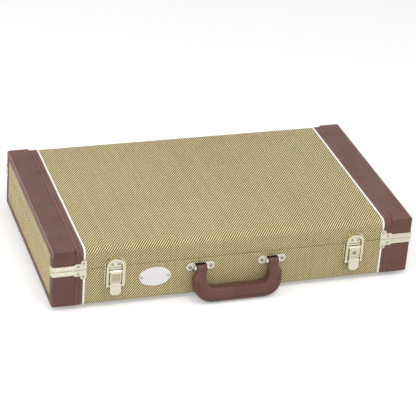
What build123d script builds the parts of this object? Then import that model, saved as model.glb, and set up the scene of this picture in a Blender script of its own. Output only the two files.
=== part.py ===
from build123d import *
import os

# Hard-shell carrying case lying flat: a wooden base tray and a hinged wooden lid, wrapped in tweed
# with leatherette end caps, white piping, brass corner fittings, two draw latches and a swinging handle.
# Millimetres. +X runs along the long side, -Y is the front with the handle, +Z is up.
# The origin is on the floor under the feet, below the middle of the whole footprint, with the handle
# in front and the hinges behind. Pieces are drawn from the middle of the body's underside and moved last.

os.makedirs("parts", exist_ok=True)

# --- Driving dimensions: the case body ---
case_width = 600.0
case_depth = 345.0
case_height = 100.0
parting_height = 65.0        # underside to the line where lid and base meet
parting_gap = 0.6            # open gap between the lid's rim and the base's rim
lid_edge_radius = 11.0       # long upper edges of the lid
base_edge_radius = 5.0       # long lower edges of the base
end_edge_radius = 4.0        # all the edges around both ends
cover_thickness = 1.0        # tweed and leatherette skins
end_panel_thickness = 0.8    # tweed on the two ends, a little lower than the leatherette around it
wall_thickness = 8.0         # front, back and end boards
floor_thickness = 6.0        # bottom and top boards
end_cap_length = 51.0        # leatherette along X, from the end to the middle of the piping
end_lip_width = 12.0         # leatherette turned over onto each end
piping_width = 3.4
piping_proud = 1.2
piping_crown_radius = 1.1
glue_line = 0.1              # between a skin's cut edge and what it meets

# --- Driving dimensions: the lining ---
lining_thickness = 3.0
lining_clearance = 0.4
lip_rise = 5.5               # alignment lip above the parting line
lip_depth = 20.0             # alignment lip below the parting line
floor_pad_thickness = 8.0
floor_pad_edge_radius = 2.0
lid_pad_thickness = 12.0
lid_pad_edge_radius = 3.0

# --- Driving dimensions: fasteners ---
rivet_head_radius = 2.2
rivet_head_height = 0.9
rivet_dome_share = 0.8       # of the head's height that is rounded over
rivet_shank_radius = 1.1
rivet_shank_length = 5.0
screw_head_radius = 2.9
screw_head_height = 1.3
screw_dome_share = 0.7
screw_slot_width = 0.7
screw_slot_depth = 0.6
screw_shank_radius = 1.4
screw_shank_length = 8.0
bore_clearance = 0.05

# --- Driving dimensions: corner fittings ---
fitting_thickness = 1.2
fitting_strip_height = 8.6   # of one half, measured from the parting line
fitting_step_height = 11.0
fitting_lobe_height = 17.0
fitting_step_start = 36.0    # along X from the end of the case
fitting_lobe_start = 45.0
fitting_length = 54.5
fitting_wrap = 14.0          # onto the end face
fitting_corner_radius = 2.0
fitting_lobe_corner_radius = 4.0
fitting_rib_height = 0.5
fitting_rib_width = 1.6
fitting_lobe_rivet_inset = 4.8   # from the lobe's inner end
fitting_lobe_rivet_drop = 4.6    # from the lobe's edge
fitting_step_rivet_inset = 4.0   # from the lobe's start
fitting_step_rivet_drop = 4.4    # from the step's edge
fitting_strip_overlap = 2.0      # of the stepped lobe onto the strip

# --- Driving dimensions: latches ---
latch_inset = 49.0           # piping to the latch's middle
latch_width = 34.0
latch_plate_thickness = 1.2
latch_rim_width = 1.6
latch_rim_height = 0.8
latch_plate_bottom = 28.0    # above the underside of the case
latch_plate_corner_radius = 9.0
latch_rivet_inset = 4.0      # plate's side to the rivet
catch_arch_height = 1.8      # parting line to the centre of the catch plate's round top
catch_boss_radius = 9.8
catch_boss_height = 2.8
catch_boss_edge_share = 0.3  # of the boss's height that is rounded over
boss_rivet_rise = 4.6        # centre of the round top up to the boss's rivets
latch_block_room = 0.2       # lever's frame to the block above it, as the lever swings
lever_pivot_drop = 7.0       # parting line down to the lever's pin
lever_pivot_stand_off = 4.6  # case front to the lever's pin
lever_knuckle_radius = 2.9
lever_plate_thickness = 1.6
lever_width = 17.6
lever_flange_thickness = 1.2
lever_panel_length = 17.4    # pin down to where the tongue starts
lever_length = 39.4          # pin down to the tongue's tip
lever_tongue_width = 18.4
lever_tongue_waist = 15.8     # width of the tongue where it leaves the panel
lever_tongue_flare_share = 0.5  # of the tongue's width, tip up to where it starts to narrow
lever_tongue_round_share = 0.42  # of the tongue's width, at each corner of its tip
lever_tongue_lift = 3.0      # how far the tip stands out from the panel
lever_frame_width = 1.8
lever_frame_height = 0.6
lever_crease_width = 1.0      # groove between the panel and the tongue
lever_crease_depth = 0.6
hasp_arm = 25.0              # lever's pin down to the hasp's pin
hasp_leg_width = 3.6
hasp_thickness = 2.0
hasp_eye_radius = 2.5
hasp_side_gap = 2.2          # lever's side to the hasp's leg
ear_thickness = 1.0
ear_gap = 0.4
ear_radius = 3.1
latch_pin_radius = 1.4
latch_pin_head_radius = 2.1
latch_pin_head_height = 0.5
running_clearance = 0.06
lock_plug_radius = 3.6
lock_plug_proud = 0.8
lock_keyway_width = 1.0
lock_keyway_length = 4.4
lock_keyway_depth = 2.0
lock_cam_width = 3.0
lock_cam_reach = 5.0
lock_cam_thickness = 1.0
lock_drop = 8.5              # lever's pin down to the lock

# --- Driving dimensions: handle ---
handle_spacing = 120.0
handle_pivot_height = 50.5
handle_pivot_stand_off = 6.5
handle_tilt = 9.6            # degrees out from straight down, where the grip meets the front
handle_drop = 56.0           # pivot to the grip's outer edge
handle_outer_width = 148.0
grip_height = 21.5           # in the plane of the handle
grip_depth = 26.0            # across the plane of the handle
grip_outer_bend = 37.0
grip_inner_bend = 15.0
grip_edge_radius = 6.0
neck_width = 16.2
neck_radius = 5.3
neck_length = 7.0
neck_taper_drop = 20.0       # pivot to where the leg is as deep as leg_depth
leg_depth = 18.0
core_thickness = 3.0
core_width = 8.0
core_eye_radius = 3.6
handle_pin_radius = 2.0
bracket_length = 47.5
bracket_height = 14.4
bracket_thickness = 1.4
bracket_cheek_thickness = 1.5
bracket_cheek_gap = 0.9      # neck to cheek, on each side
bracket_cheek_radius = 4.2
bracket_window_height = 11.4
recess_depth = 3.0
bracket_screw_inset = 6.5

# --- Driving dimensions: hinges ---
hinge_inset = 69.0           # piping to the hinge's middle
hinge_width = 60.0
hinge_leaf_height = 21.0
hinge_leaf_thickness = 1.2
hinge_barrel_radius = 3.2
hinge_barrel_gap = 0.4       # barrel to the back of the case
hinge_pin_radius = 1.6
hinge_knuckles = 5
hinge_knuckle_gap = 0.4
hinge_screw_inset = 9.0
hinge_screw_edge = 6.5       # leaf's edge to the screws

# --- Driving dimensions: feet ---
foot_height = 8.0
foot_radius = 11.0
foot_draft_radius = 9.5      # at the floor
foot_edge_radius = 1.0
foot_inset_x = 75.0          # end of the case to the foot's centre
foot_inset_y = 36.0
foot_recess_radius = 4.0
foot_recess_depth = 4.0

# --- Driving dimension: the frame ---
footprint_offset = 10.5      # the whole footprint's middle is this far in front of the body's middle

# --- Driving dimensions: badge ---
badge_x = -134.0
badge_height = 39.6
badge_width = 52.0
badge_rise = 34.0
badge_thickness = 0.9
badge_rivet_inset = 4.0
badge_edge_share = 0.4       # of the plate's thickness that is rounded over

# --- Places worked out from them ---
end_x = case_width / 2
front_y = -case_depth / 2
back_y = case_depth / 2
piping_x = end_x - end_cap_length
base_rim = parting_height - parting_gap / 2
lid_rim = parting_height + parting_gap / 2
board_end_x = end_x - cover_thickness
board_side_y = case_depth / 2 - cover_thickness
inner_end_x = board_end_x - wall_thickness
inner_side_y = board_side_y - wall_thickness
cavity_floor = cover_thickness + floor_thickness
cavity_ceiling = case_height - cover_thickness - floor_thickness
tweed_half_width = piping_x - piping_width / 2 - glue_line
cap_start_x = piping_x + piping_width / 2 + glue_line
oversize = 40.0              # cutting boxes reach this far past what they cut


# --- Shared forms ---
def rounded_block(inset):
    """The closed case as one rounded block, drawn in from its outer faces by inset."""
    half_depth = case_depth / 2 - inset
    low = inset
    high = case_height - inset
    with BuildPart() as block:
        with BuildSketch(Plane.YZ.offset(inset - end_x)) as cross_section:
            with BuildLine():
                Polyline((-half_depth, low), (half_depth, low), (half_depth, high), (-half_depth, high),
                         close=True)
            make_face()
            fillet(cross_section.vertices().group_by(Axis.Y)[-1], lid_edge_radius - inset)
            fillet(cross_section.vertices().group_by(Axis.Y)[0], base_edge_radius - inset)
        extrude(amount=case_width - 2 * inset)
        ends = block.faces().filter_by(GeomType.PLANE).sort_by(Axis.X)
        fillet(ends[0].edges() + ends[-1].edges(), end_edge_radius - inset)
    return block.part


def span_box(x_span, y_span, z_span):
    """A plain box between two values on each axis, used to cut pieces to their region."""
    size = [high - low for low, high in (x_span, y_span, z_span)]
    middle = [(high + low) / 2 for low, high in (x_span, y_span, z_span)]
    return Pos(*middle) * Box(*size, mode=Mode.PRIVATE)


def wall_ring(outer_x, outer_y, thickness, low, high):
    """A closed upright frame that follows the four walls."""
    with BuildPart() as ring:
        with BuildSketch(Plane.XY.offset(low)):
            Rectangle(2 * outer_x, 2 * outer_y)
            Rectangle(2 * (outer_x - thickness), 2 * (outer_y - thickness), mode=Mode.SUBTRACT)
        extrude(amount=high - low)
    return ring


def front_place(x, z, stand_off=0.0):
    """A place on the front face, with its own Z pointing out of the case."""
    return Plane(origin=(x, front_y - stand_off, z), x_dir=(1, 0, 0), z_dir=(0, -1, 0)).location


def back_place(x, z, stand_off=0.0):
    """A place on the back face, with its own Z pointing out of the case."""
    return Plane(origin=(x, back_y + stand_off, z), x_dir=(-1, 0, 0), z_dir=(0, 1, 0)).location


def keep(piece, name):
    """Move a finished piece to the frame's origin, label it and write it."""
    placed = piece.part.moved(Location((0, footprint_offset, foot_height)))
    placed.label = name
    export_step(placed, "parts/" + name + ".step")


outer_block = rounded_block(0.0)
board_block = rounded_block(cover_thickness)
everywhere_x = (-end_x - oversize, end_x + oversize)
everywhere_y = (front_y - oversize, back_y + oversize)
base_zone_z = (-oversize, base_rim)
lid_zone_z = (lid_rim, case_height + oversize)

# --- Fastener places ---
fitting_rivet_x = [end_x - fitting_length + fitting_lobe_rivet_inset,
                   end_x - fitting_lobe_start + fitting_step_rivet_inset]
fitting_rivet_rise = [fitting_lobe_height - fitting_lobe_rivet_drop,
                      fitting_step_height - fitting_step_rivet_drop]
latch_centres = [latch_inset - piping_x, piping_x - latch_inset]
handle_centres = [-handle_spacing / 2, handle_spacing / 2]
hinge_centres = [hinge_inset - piping_x, piping_x - hinge_inset]
latch_rivet_offset = latch_width / 2 - latch_rivet_inset
base_latch_rivet_z = latch_plate_bottom + latch_plate_corner_radius
lid_latch_rivet_z = parting_height + catch_arch_height + boss_rivet_rise
boss_rivet_offset = catch_boss_radius / 2


def fitting_rivets(direction):
    """Rivets of four corner fittings, above (1) or below (-1) the parting line."""
    places = []
    for side in (-1, 1):
        for along, rise in zip(fitting_rivet_x, fitting_rivet_rise):
            height = parting_height + direction * rise
            places.append(front_place(side * along, height, fitting_thickness))
            places.append(back_place(side * along, height, fitting_thickness))
    return places


base_rivet_places = fitting_rivets(-1)
lid_rivet_places = fitting_rivets(1)
for latch_x in latch_centres:
    for side in (-1, 1):
        base_rivet_places.append(
            front_place(latch_x + side * latch_rivet_offset, base_latch_rivet_z, latch_plate_thickness))
        lid_rivet_places.append(
            front_place(latch_x + side * boss_rivet_offset, lid_latch_rivet_z,
                        latch_plate_thickness + catch_boss_height - rivet_head_height))
for side in (-1, 1):
    badge_rivet_x = badge_x + side * (badge_width / 2 - badge_rivet_inset)
    base_rivet_places.append(front_place(badge_rivet_x, badge_height, badge_thickness))

handle_screw_places = []
for bracket_x in handle_centres:
    for side in (-1, 1):
        screw_x = bracket_x + side * (bracket_length / 2 - bracket_screw_inset)
        handle_screw_places.append(front_place(screw_x, handle_pivot_height, bracket_thickness))


def hinge_screws(direction):
    """Three screws in each hinge leaf, above (1) or below (-1) the parting line."""
    height = parting_height + direction * (hinge_leaf_height - hinge_screw_edge)
    places = []
    for hinge_x in hinge_centres:
        for step in (-1, 0, 1):
            along = step * (hinge_width / 2 - hinge_screw_inset)
            places.append(back_place(hinge_x + along, height, hinge_leaf_thickness))
    return places


hinge_base_screw_places = hinge_screws(-1)
hinge_lid_screw_places = hinge_screws(1)

with BuildPart() as rivet_form:
    Cylinder(rivet_head_radius, rivet_head_height, align=(Align.CENTER, Align.CENTER, Align.MIN))
    fillet(rivet_form.edges().sort_by(Axis.Z)[-1], rivet_head_height * rivet_dome_share)
    Cylinder(rivet_shank_radius, rivet_shank_length, align=(Align.CENTER, Align.CENTER, Align.MAX))

with BuildPart() as screw_form:
    Cylinder(screw_head_radius, screw_head_height, align=(Align.CENTER, Align.CENTER, Align.MIN))
    fillet(screw_form.edges().sort_by(Axis.Z)[-1], screw_head_height * screw_dome_share)
    with Locations((0, 0, screw_head_height)):
        Box(3 * screw_head_radius, screw_slot_width, 2 * screw_slot_depth, mode=Mode.SUBTRACT)
        Box(screw_slot_width, 3 * screw_head_radius, 2 * screw_slot_depth, mode=Mode.SUBTRACT)
    Cylinder(screw_shank_radius, screw_shank_length, align=(Align.CENTER, Align.CENTER, Align.MAX))


def fastener_bores(rivet_places, screw_places):
    """Holes for the shanks of rivets and screws, from their heads' seats to just past their tips."""
    with BuildPart() as bores:
        with Locations(*rivet_places):
            Cylinder(rivet_shank_radius + bore_clearance, rivet_shank_length + 2 * bore_clearance,
                     align=(Align.CENTER, Align.CENTER, Align.MAX))
        with Locations(*screw_places):
            Cylinder(screw_shank_radius + bore_clearance, screw_shank_length + 2 * bore_clearance,
                     align=(Align.CENTER, Align.CENTER, Align.MAX))
    return bores.part


base_bores = fastener_bores(base_rivet_places, handle_screw_places + hinge_base_screw_places)
lid_bores = fastener_bores(lid_rivet_places, hinge_lid_screw_places)

# The handle's ends swing in two shallow recesses behind the bracket windows.
recess_half_width = neck_width / 2 + bracket_cheek_gap
with BuildPart() as handle_recesses:
    for bracket_x in handle_centres:
        with Locations((bracket_x, front_y, handle_pivot_height)):
            Box(2 * recess_half_width, 2 * recess_depth, bracket_window_height)

# --- Boards of the base ---
side_span_y = (-inner_side_y, inner_side_y)
end_span_x = (-inner_end_x, inner_end_x)

with BuildPart() as base_front_board:
    add(board_block)
    add(span_box(everywhere_x, (front_y - oversize, -inner_side_y), base_zone_z), mode=Mode.INTERSECT)
    add(base_bores, mode=Mode.SUBTRACT)
    add(handle_recesses.part, mode=Mode.SUBTRACT)
keep(base_front_board, "base_front_board")

with BuildPart() as base_back_board:
    add(board_block)
    add(span_box(everywhere_x, (inner_side_y, back_y + oversize), base_zone_z), mode=Mode.INTERSECT)
    add(base_bores, mode=Mode.SUBTRACT)
keep(base_back_board, "base_back_board")

with BuildPart() as base_end_boards:
    add(board_block)
    add(span_box(everywhere_x, side_span_y, base_zone_z), mode=Mode.INTERSECT)
    add(span_box(end_span_x, everywhere_y, base_zone_z), mode=Mode.SUBTRACT)
keep(base_end_boards, "base_end_boards")

with BuildPart() as base_bottom_board:
    add(board_block)
    add(span_box(end_span_x, side_span_y, (-oversize, cavity_floor)), mode=Mode.INTERSECT)
keep(base_bottom_board, "base_bottom_board")

# --- Boards of the lid ---
with BuildPart() as lid_front_board:
    add(board_block)
    add(span_box(everywhere_x, (front_y - oversize, -inner_side_y), lid_zone_z), mode=Mode.INTERSECT)
    add(lid_bores, mode=Mode.SUBTRACT)
keep(lid_front_board, "lid_front_board")

with BuildPart() as lid_back_board:
    add(board_block)
    add(span_box(everywhere_x, (inner_side_y, back_y + oversize), lid_zone_z), mode=Mode.INTERSECT)
    add(lid_bores, mode=Mode.SUBTRACT)
keep(lid_back_board, "lid_back_board")

with BuildPart() as lid_end_boards:
    add(board_block)
    add(span_box(everywhere_x, side_span_y, lid_zone_z), mode=Mode.INTERSECT)
    add(span_box(end_span_x, everywhere_y, lid_zone_z), mode=Mode.SUBTRACT)
keep(lid_end_boards, "lid_end_boards")

with BuildPart() as lid_top_board:
    add(board_block)
    add(span_box(end_span_x, side_span_y, (cavity_ceiling, case_height + oversize)), mode=Mode.INTERSECT)
keep(lid_top_board, "lid_top_board")

# --- Skins: the shell between the outer faces and the boards, cut into its pieces ---
with BuildPart() as skin_shell:
    add(outer_block)
    add(board_block, mode=Mode.SUBTRACT)

tweed_span_x = (-tweed_half_width, tweed_half_width)
bottom_skin_half_depth = case_depth / 2 - base_edge_radius

with BuildPart() as base_tweed_wrap:
    add(skin_shell.part)
    add(span_box(tweed_span_x, everywhere_y, base_zone_z), mode=Mode.INTERSECT)
    add(span_box(everywhere_x, (-bottom_skin_half_depth - glue_line, bottom_skin_half_depth + glue_line),
                 base_zone_z), mode=Mode.SUBTRACT)
    add(base_bores, mode=Mode.SUBTRACT)
    add(handle_recesses.part, mode=Mode.SUBTRACT)
keep(base_tweed_wrap, "base_tweed_wrap")

with BuildPart() as base_bottom_cover:
    add(skin_shell.part)
    add(span_box(tweed_span_x, (-bottom_skin_half_depth, bottom_skin_half_depth),
                 (-oversize, cavity_floor)), mode=Mode.INTERSECT)
keep(base_bottom_cover, "base_bottom_cover")

with BuildPart() as lid_tweed_wrap:
    add(skin_shell.part)
    add(span_box(tweed_span_x, everywhere_y, lid_zone_z), mode=Mode.INTERSECT)
    add(lid_bores, mode=Mode.SUBTRACT)
keep(lid_tweed_wrap, "lid_tweed_wrap")

window_half_depth = case_depth / 2 - end_lip_width
panel_half_depth = window_half_depth - glue_line
panel_outer_x = board_end_x + end_panel_thickness


def end_window(low, high):
    """The opening in both end caps that shows the tweed end panels."""
    return span_box(everywhere_x, (-window_half_depth, window_half_depth), (low, high))


def end_cap(zone_z, window, bores):
    """The leatherette of the left end in one half of the case."""
    with BuildPart() as cap:
        add(skin_shell.part)
        add(span_box((-end_x - oversize, -cap_start_x), everywhere_y, zone_z), mode=Mode.INTERSECT)
        add(window & span_box((-end_x - oversize, -inner_end_x), everywhere_y, zone_z), mode=Mode.SUBTRACT)
        add(bores, mode=Mode.SUBTRACT)
    return cap


base_window = end_window(end_lip_width, parting_height)
lid_window = end_window(parting_height, case_height - end_lip_width)

base_end_cap_left = end_cap(base_zone_z, base_window, base_bores)
keep(base_end_cap_left, "base_end_cap_left")

with BuildPart() as base_end_cap_right:
    mirror(base_end_cap_left.part, about=Plane.YZ)
keep(base_end_cap_right, "base_end_cap_right")

lid_end_cap_left = end_cap(lid_zone_z, lid_window, lid_bores)
keep(lid_end_cap_left, "lid_end_cap_left")

with BuildPart() as lid_end_cap_right:
    mirror(lid_end_cap_left.part, about=Plane.YZ)
keep(lid_end_cap_right, "lid_end_cap_right")


def end_panels(low, high):
    """Tweed on both ends, inside the leatherette's turned-over lip."""
    with BuildPart() as panels:
        for side in (-1, 1):
            with Locations((side * (board_end_x + end_panel_thickness / 2), 0, (low + high) / 2)):
                Box(end_panel_thickness, 2 * panel_half_depth, high - low)
    return panels


base_tweed_ends = end_panels(end_lip_width + glue_line, base_rim)
keep(base_tweed_ends, "base_tweed_ends")

lid_tweed_ends = end_panels(lid_rim, case_height - end_lip_width - glue_line)
keep(lid_tweed_ends, "lid_tweed_ends")

# --- Piping: a half-round bead bent around the case in the gap between tweed and leatherette ---
with BuildPart() as piping_loops:
    for side in (-1, 1):
        with BuildSketch(Plane.YZ.offset(side * piping_x - piping_width / 2)) as bead_section:
            Rectangle(case_depth + 2 * piping_proud, case_height + piping_proud,
                      align=(Align.CENTER, Align.MIN))
            fillet(bead_section.vertices().group_by(Axis.Y)[-1], lid_edge_radius + piping_proud)
        extrude(amount=piping_width)
    bead_edges = [edge for face in piping_loops.faces().filter_by(GeomType.PLANE).filter_by(Axis.X)
                  for edge in face.edges() if edge.bounding_box().max.Z > cover_thickness]
    fillet(bead_edges, piping_crown_radius)
    add(board_block, mode=Mode.SUBTRACT)

piping_foot = base_edge_radius
base_piping_top = parting_height - fitting_lobe_height - bore_clearance
lid_piping_bottom = parting_height + fitting_lobe_height + bore_clearance

# Under the base the bead is pressed flat between the skins, from one lower edge to the other.
outer_bead_x = piping_x + piping_width / 2
inner_bead_x = piping_x - piping_width / 2
with BuildPart() as flat_runs:
    add(skin_shell.part)
    add(span_box((-outer_bead_x, outer_bead_x), everywhere_y, (-oversize, piping_foot)), mode=Mode.INTERSECT)
    add(span_box((-inner_bead_x, inner_bead_x), everywhere_y, (-oversize, piping_foot)), mode=Mode.SUBTRACT)

with BuildPart() as base_piping:
    add(piping_loops.part)
    add(span_box(everywhere_x, everywhere_y, (piping_foot, base_piping_top)), mode=Mode.INTERSECT)
    add(flat_runs.part)
keep(base_piping, "base_piping")

with BuildPart() as lid_piping:
    add(piping_loops.part)
    add(span_box(everywhere_x, everywhere_y, (lid_piping_bottom, case_height + oversize)),
        mode=Mode.INTERSECT)
keep(lid_piping, "lid_piping")


# --- Corner fittings: a strip bent around the corner, with a stepped lobe beside the piping ---
def corner_ring(thickness_inner, thickness_outer, low, high):
    """A band that follows the case's upright corners between two distances from its faces."""
    with BuildPart() as ring:
        with BuildSketch(Plane.XY.offset(low)):
            RectangleRounded(case_width + 2 * thickness_outer, case_depth + 2 * thickness_outer,
                             end_edge_radius + thickness_outer)
            RectangleRounded(case_width + 2 * thickness_inner, case_depth + 2 * thickness_inner,
                             end_edge_radius + thickness_inner, mode=Mode.SUBTRACT)
        extrude(amount=high - low)
    return ring.part


strip_end_y = front_y + fitting_wrap
strip_zone = span_box((-end_x - oversize, -end_x + fitting_lobe_start), (front_y - oversize, strip_end_y),
                      (0, case_height))
rib_zone = span_box((-end_x - oversize, -end_x + fitting_step_start - fitting_corner_radius),
                    (front_y - oversize, strip_end_y - fitting_corner_radius), (0, case_height))
strip_join_x = -end_x + fitting_step_start - fitting_strip_overlap
rib_middle = lid_rim + (fitting_strip_height - parting_gap / 2) / 2

strip_band = corner_ring(0, fitting_thickness, lid_rim, parting_height + fitting_strip_height)
rib_band = corner_ring(fitting_thickness, fitting_thickness + fitting_rib_height,
                       rib_middle - fitting_rib_width / 2, rib_middle + fitting_rib_width / 2)

with BuildPart() as fitting_form:
    add(strip_band)
    add(strip_zone, mode=Mode.INTERSECT)
    with BuildSketch(Plane.XZ.offset(-front_y)) as lobe_outline:
        with BuildLine():
            Polyline((strip_join_x, lid_rim),
                     (-end_x + fitting_length, lid_rim),
                     (-end_x + fitting_length, parting_height + fitting_lobe_height),
                     (-end_x + fitting_lobe_start, parting_height + fitting_lobe_height),
                     (-end_x + fitting_lobe_start, parting_height + fitting_step_height),
                     (-end_x + fitting_step_start, parting_height + fitting_step_height),
                     (strip_join_x, parting_height + fitting_strip_height),
                     close=True)
        make_face()
        fillet(lobe_outline.vertices().group_by(Axis.Y)[-1], fitting_lobe_corner_radius)
        fillet(lobe_outline.vertices().group_by(Axis.X)[1], fitting_corner_radius)
    extrude(amount=fitting_thickness)
    add(rib_zone & rib_band)
    add(lid_bores, mode=Mode.SUBTRACT)

with BuildPart() as lid_fitting_front_left:
    add(fitting_form.part)
keep(lid_fitting_front_left, "lid_fitting_front_left")

with BuildPart() as lid_fitting_front_right:
    mirror(fitting_form.part, about=Plane.YZ)
keep(lid_fitting_front_right, "lid_fitting_front_right")

with BuildPart() as lid_fitting_back_left:
    mirror(fitting_form.part, about=Plane.XZ)
keep(lid_fitting_back_left, "lid_fitting_back_left")

with BuildPart() as lid_fitting_back_right:
    mirror(lid_fitting_back_left.part, about=Plane.YZ)
keep(lid_fitting_back_right, "lid_fitting_back_right")

parting_plane = Plane.XY.offset(parting_height)
with BuildPart() as base_fitting_front_left:
    mirror(lid_fitting_front_left.part, about=parting_plane)
keep(base_fitting_front_left, "base_fitting_front_left")

with BuildPart() as base_fitting_front_right:
    mirror(lid_fitting_front_right.part, about=parting_plane)
keep(base_fitting_front_right, "base_fitting_front_right")

with BuildPart() as base_fitting_back_left:
    mirror(lid_fitting_back_left.part, about=parting_plane)
keep(base_fitting_back_left, "base_fitting_back_left")

with BuildPart() as base_fitting_back_right:
    mirror(lid_fitting_back_right.part, about=parting_plane)
keep(base_fitting_back_right, "base_fitting_back_right")

# --- Latches ---
lever_pivot_z = parting_height - lever_pivot_drop
lever_pivot_y = front_y - lever_pivot_stand_off
hasp_pivot_z = lever_pivot_z - hasp_arm
arch_centre_z = parting_height + catch_arch_height
lever_face = lever_pivot_stand_off + lever_knuckle_radius     # case front to the lever's outer face
hasp_inner_half = lever_width / 2 + hasp_side_gap
hasp_outer_half = hasp_inner_half + hasp_leg_width
ear_inner_half = lever_width / 2 + ear_gap
ear_outer_half = ear_inner_half + ear_thickness


def front_plane(latch_x, stand_off):
    """A drawing plane parallel to the front, out from it, with X along the case and Y up it."""
    return Plane(origin=(latch_x, front_y - stand_off, 0), x_dir=(1, 0, 0), z_dir=(0, -1, 0))


def side_plane(x):
    """A drawing plane across the case at x, with X pointing back and Y up."""
    return Plane(origin=(x, 0, 0), x_dir=(0, 1, 0), z_dir=(1, 0, 0))


def latch_base_plate(latch_x):
    """Plate on the base: a raised rim, two ears that carry the lever's pin, and a block that meets the boss."""
    block_foot_z = lever_pivot_z + lever_knuckle_radius + lever_frame_height + latch_block_room
    with BuildPart() as plate:
        with BuildSketch(front_plane(latch_x, 0)) as outline:
            with Locations((0, latch_plate_bottom)):
                Rectangle(latch_width, base_rim - latch_plate_bottom, align=(Align.CENTER, Align.MIN))
            fillet(outline.vertices().group_by(Axis.Y)[0], latch_plate_corner_radius)
        extrude(amount=latch_plate_thickness)
        with BuildSketch(front_plane(latch_x, latch_plate_thickness)) as rim:
            with Locations((0, latch_plate_bottom)):
                Rectangle(latch_width, base_rim - latch_plate_bottom, align=(Align.CENTER, Align.MIN))
            fillet(rim.vertices().group_by(Axis.Y)[0], latch_plate_corner_radius)
            offset(amount=-latch_rim_width, mode=Mode.SUBTRACT)
        extrude(amount=latch_rim_height)
        with BuildSketch(front_plane(latch_x, latch_plate_thickness)):
            with Locations((0, block_foot_z)):
                Rectangle(2 * catch_boss_radius, base_rim - block_foot_z, align=(Align.CENTER, Align.MIN))
        extrude(amount=catch_boss_height)
        for side in (-1, 1):
            inner = side * ear_inner_half if side > 0 else -ear_outer_half
            with BuildSketch(side_plane(latch_x + inner)):
                with Locations((lever_pivot_y, lever_pivot_z)):
                    Circle(ear_radius)
                    Rectangle(lever_pivot_stand_off, 2 * ear_radius, align=(Align.MIN, Align.CENTER))
            extrude(amount=ear_thickness)
        with Locations(Location((latch_x, lever_pivot_y, lever_pivot_z), (0, 90, 0))):
            Cylinder(latch_pin_radius, latch_width, mode=Mode.SUBTRACT)
        add(base_bores, mode=Mode.SUBTRACT)
    return plate


def latch_catch_plate(latch_x):
    """Plate on the lid with a round top, a raised rim and the boss that the hasp closes over."""
    arch_radius = latch_width / 2
    with BuildPart() as plate:
        with BuildSketch(front_plane(latch_x, 0)) as outline:
            with Locations((0, arch_centre_z)):
                Circle(arch_radius)
                Rectangle(latch_width, latch_width, align=(Align.CENTER, Align.MAX))
            with Locations((0, lid_rim)):
                Rectangle(2 * latch_width, latch_width, align=(Align.CENTER, Align.MAX), mode=Mode.SUBTRACT)
        extrude(amount=latch_plate_thickness)
        with BuildSketch(front_plane(latch_x, latch_plate_thickness)):
            with Locations((0, arch_centre_z)):
                Circle(arch_radius)
                Rectangle(latch_width, latch_width, align=(Align.CENTER, Align.MAX))
            with Locations((0, lid_rim)):
                Rectangle(2 * latch_width, latch_width, align=(Align.CENTER, Align.MAX), mode=Mode.SUBTRACT)
            offset(amount=-latch_rim_width, mode=Mode.SUBTRACT)
        extrude(amount=latch_rim_height)
        with BuildSketch(front_plane(latch_x, latch_plate_thickness)):
            with Locations((0, arch_centre_z)):
                Circle(catch_boss_radius)
                Rectangle(2 * catch_boss_radius, latch_width, align=(Align.CENTER, Align.MAX))
            with Locations((0, lid_rim)):
                Rectangle(2 * latch_width, latch_width, align=(Align.CENTER, Align.MAX), mode=Mode.SUBTRACT)
        extrude(amount=catch_boss_height)
        boss_face = plate.faces().filter_by(Axis.Y).sort_by(Axis.Y)[0]
        fillet(boss_face.edges(), catch_boss_height * catch_boss_edge_share)
        for side in (-1, 1):
            with Locations(front_place(latch_x + side * boss_rivet_offset, lid_latch_rivet_z,
                                       latch_plate_thickness + catch_boss_height - rivet_head_height)):
                Cylinder(rivet_head_radius + bore_clearance, 2 * rivet_head_height,
                         align=(Align.CENTER, Align.CENTER, Align.MIN), mode=Mode.SUBTRACT)
        add(lid_bores, mode=Mode.SUBTRACT)
    return plate


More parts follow.
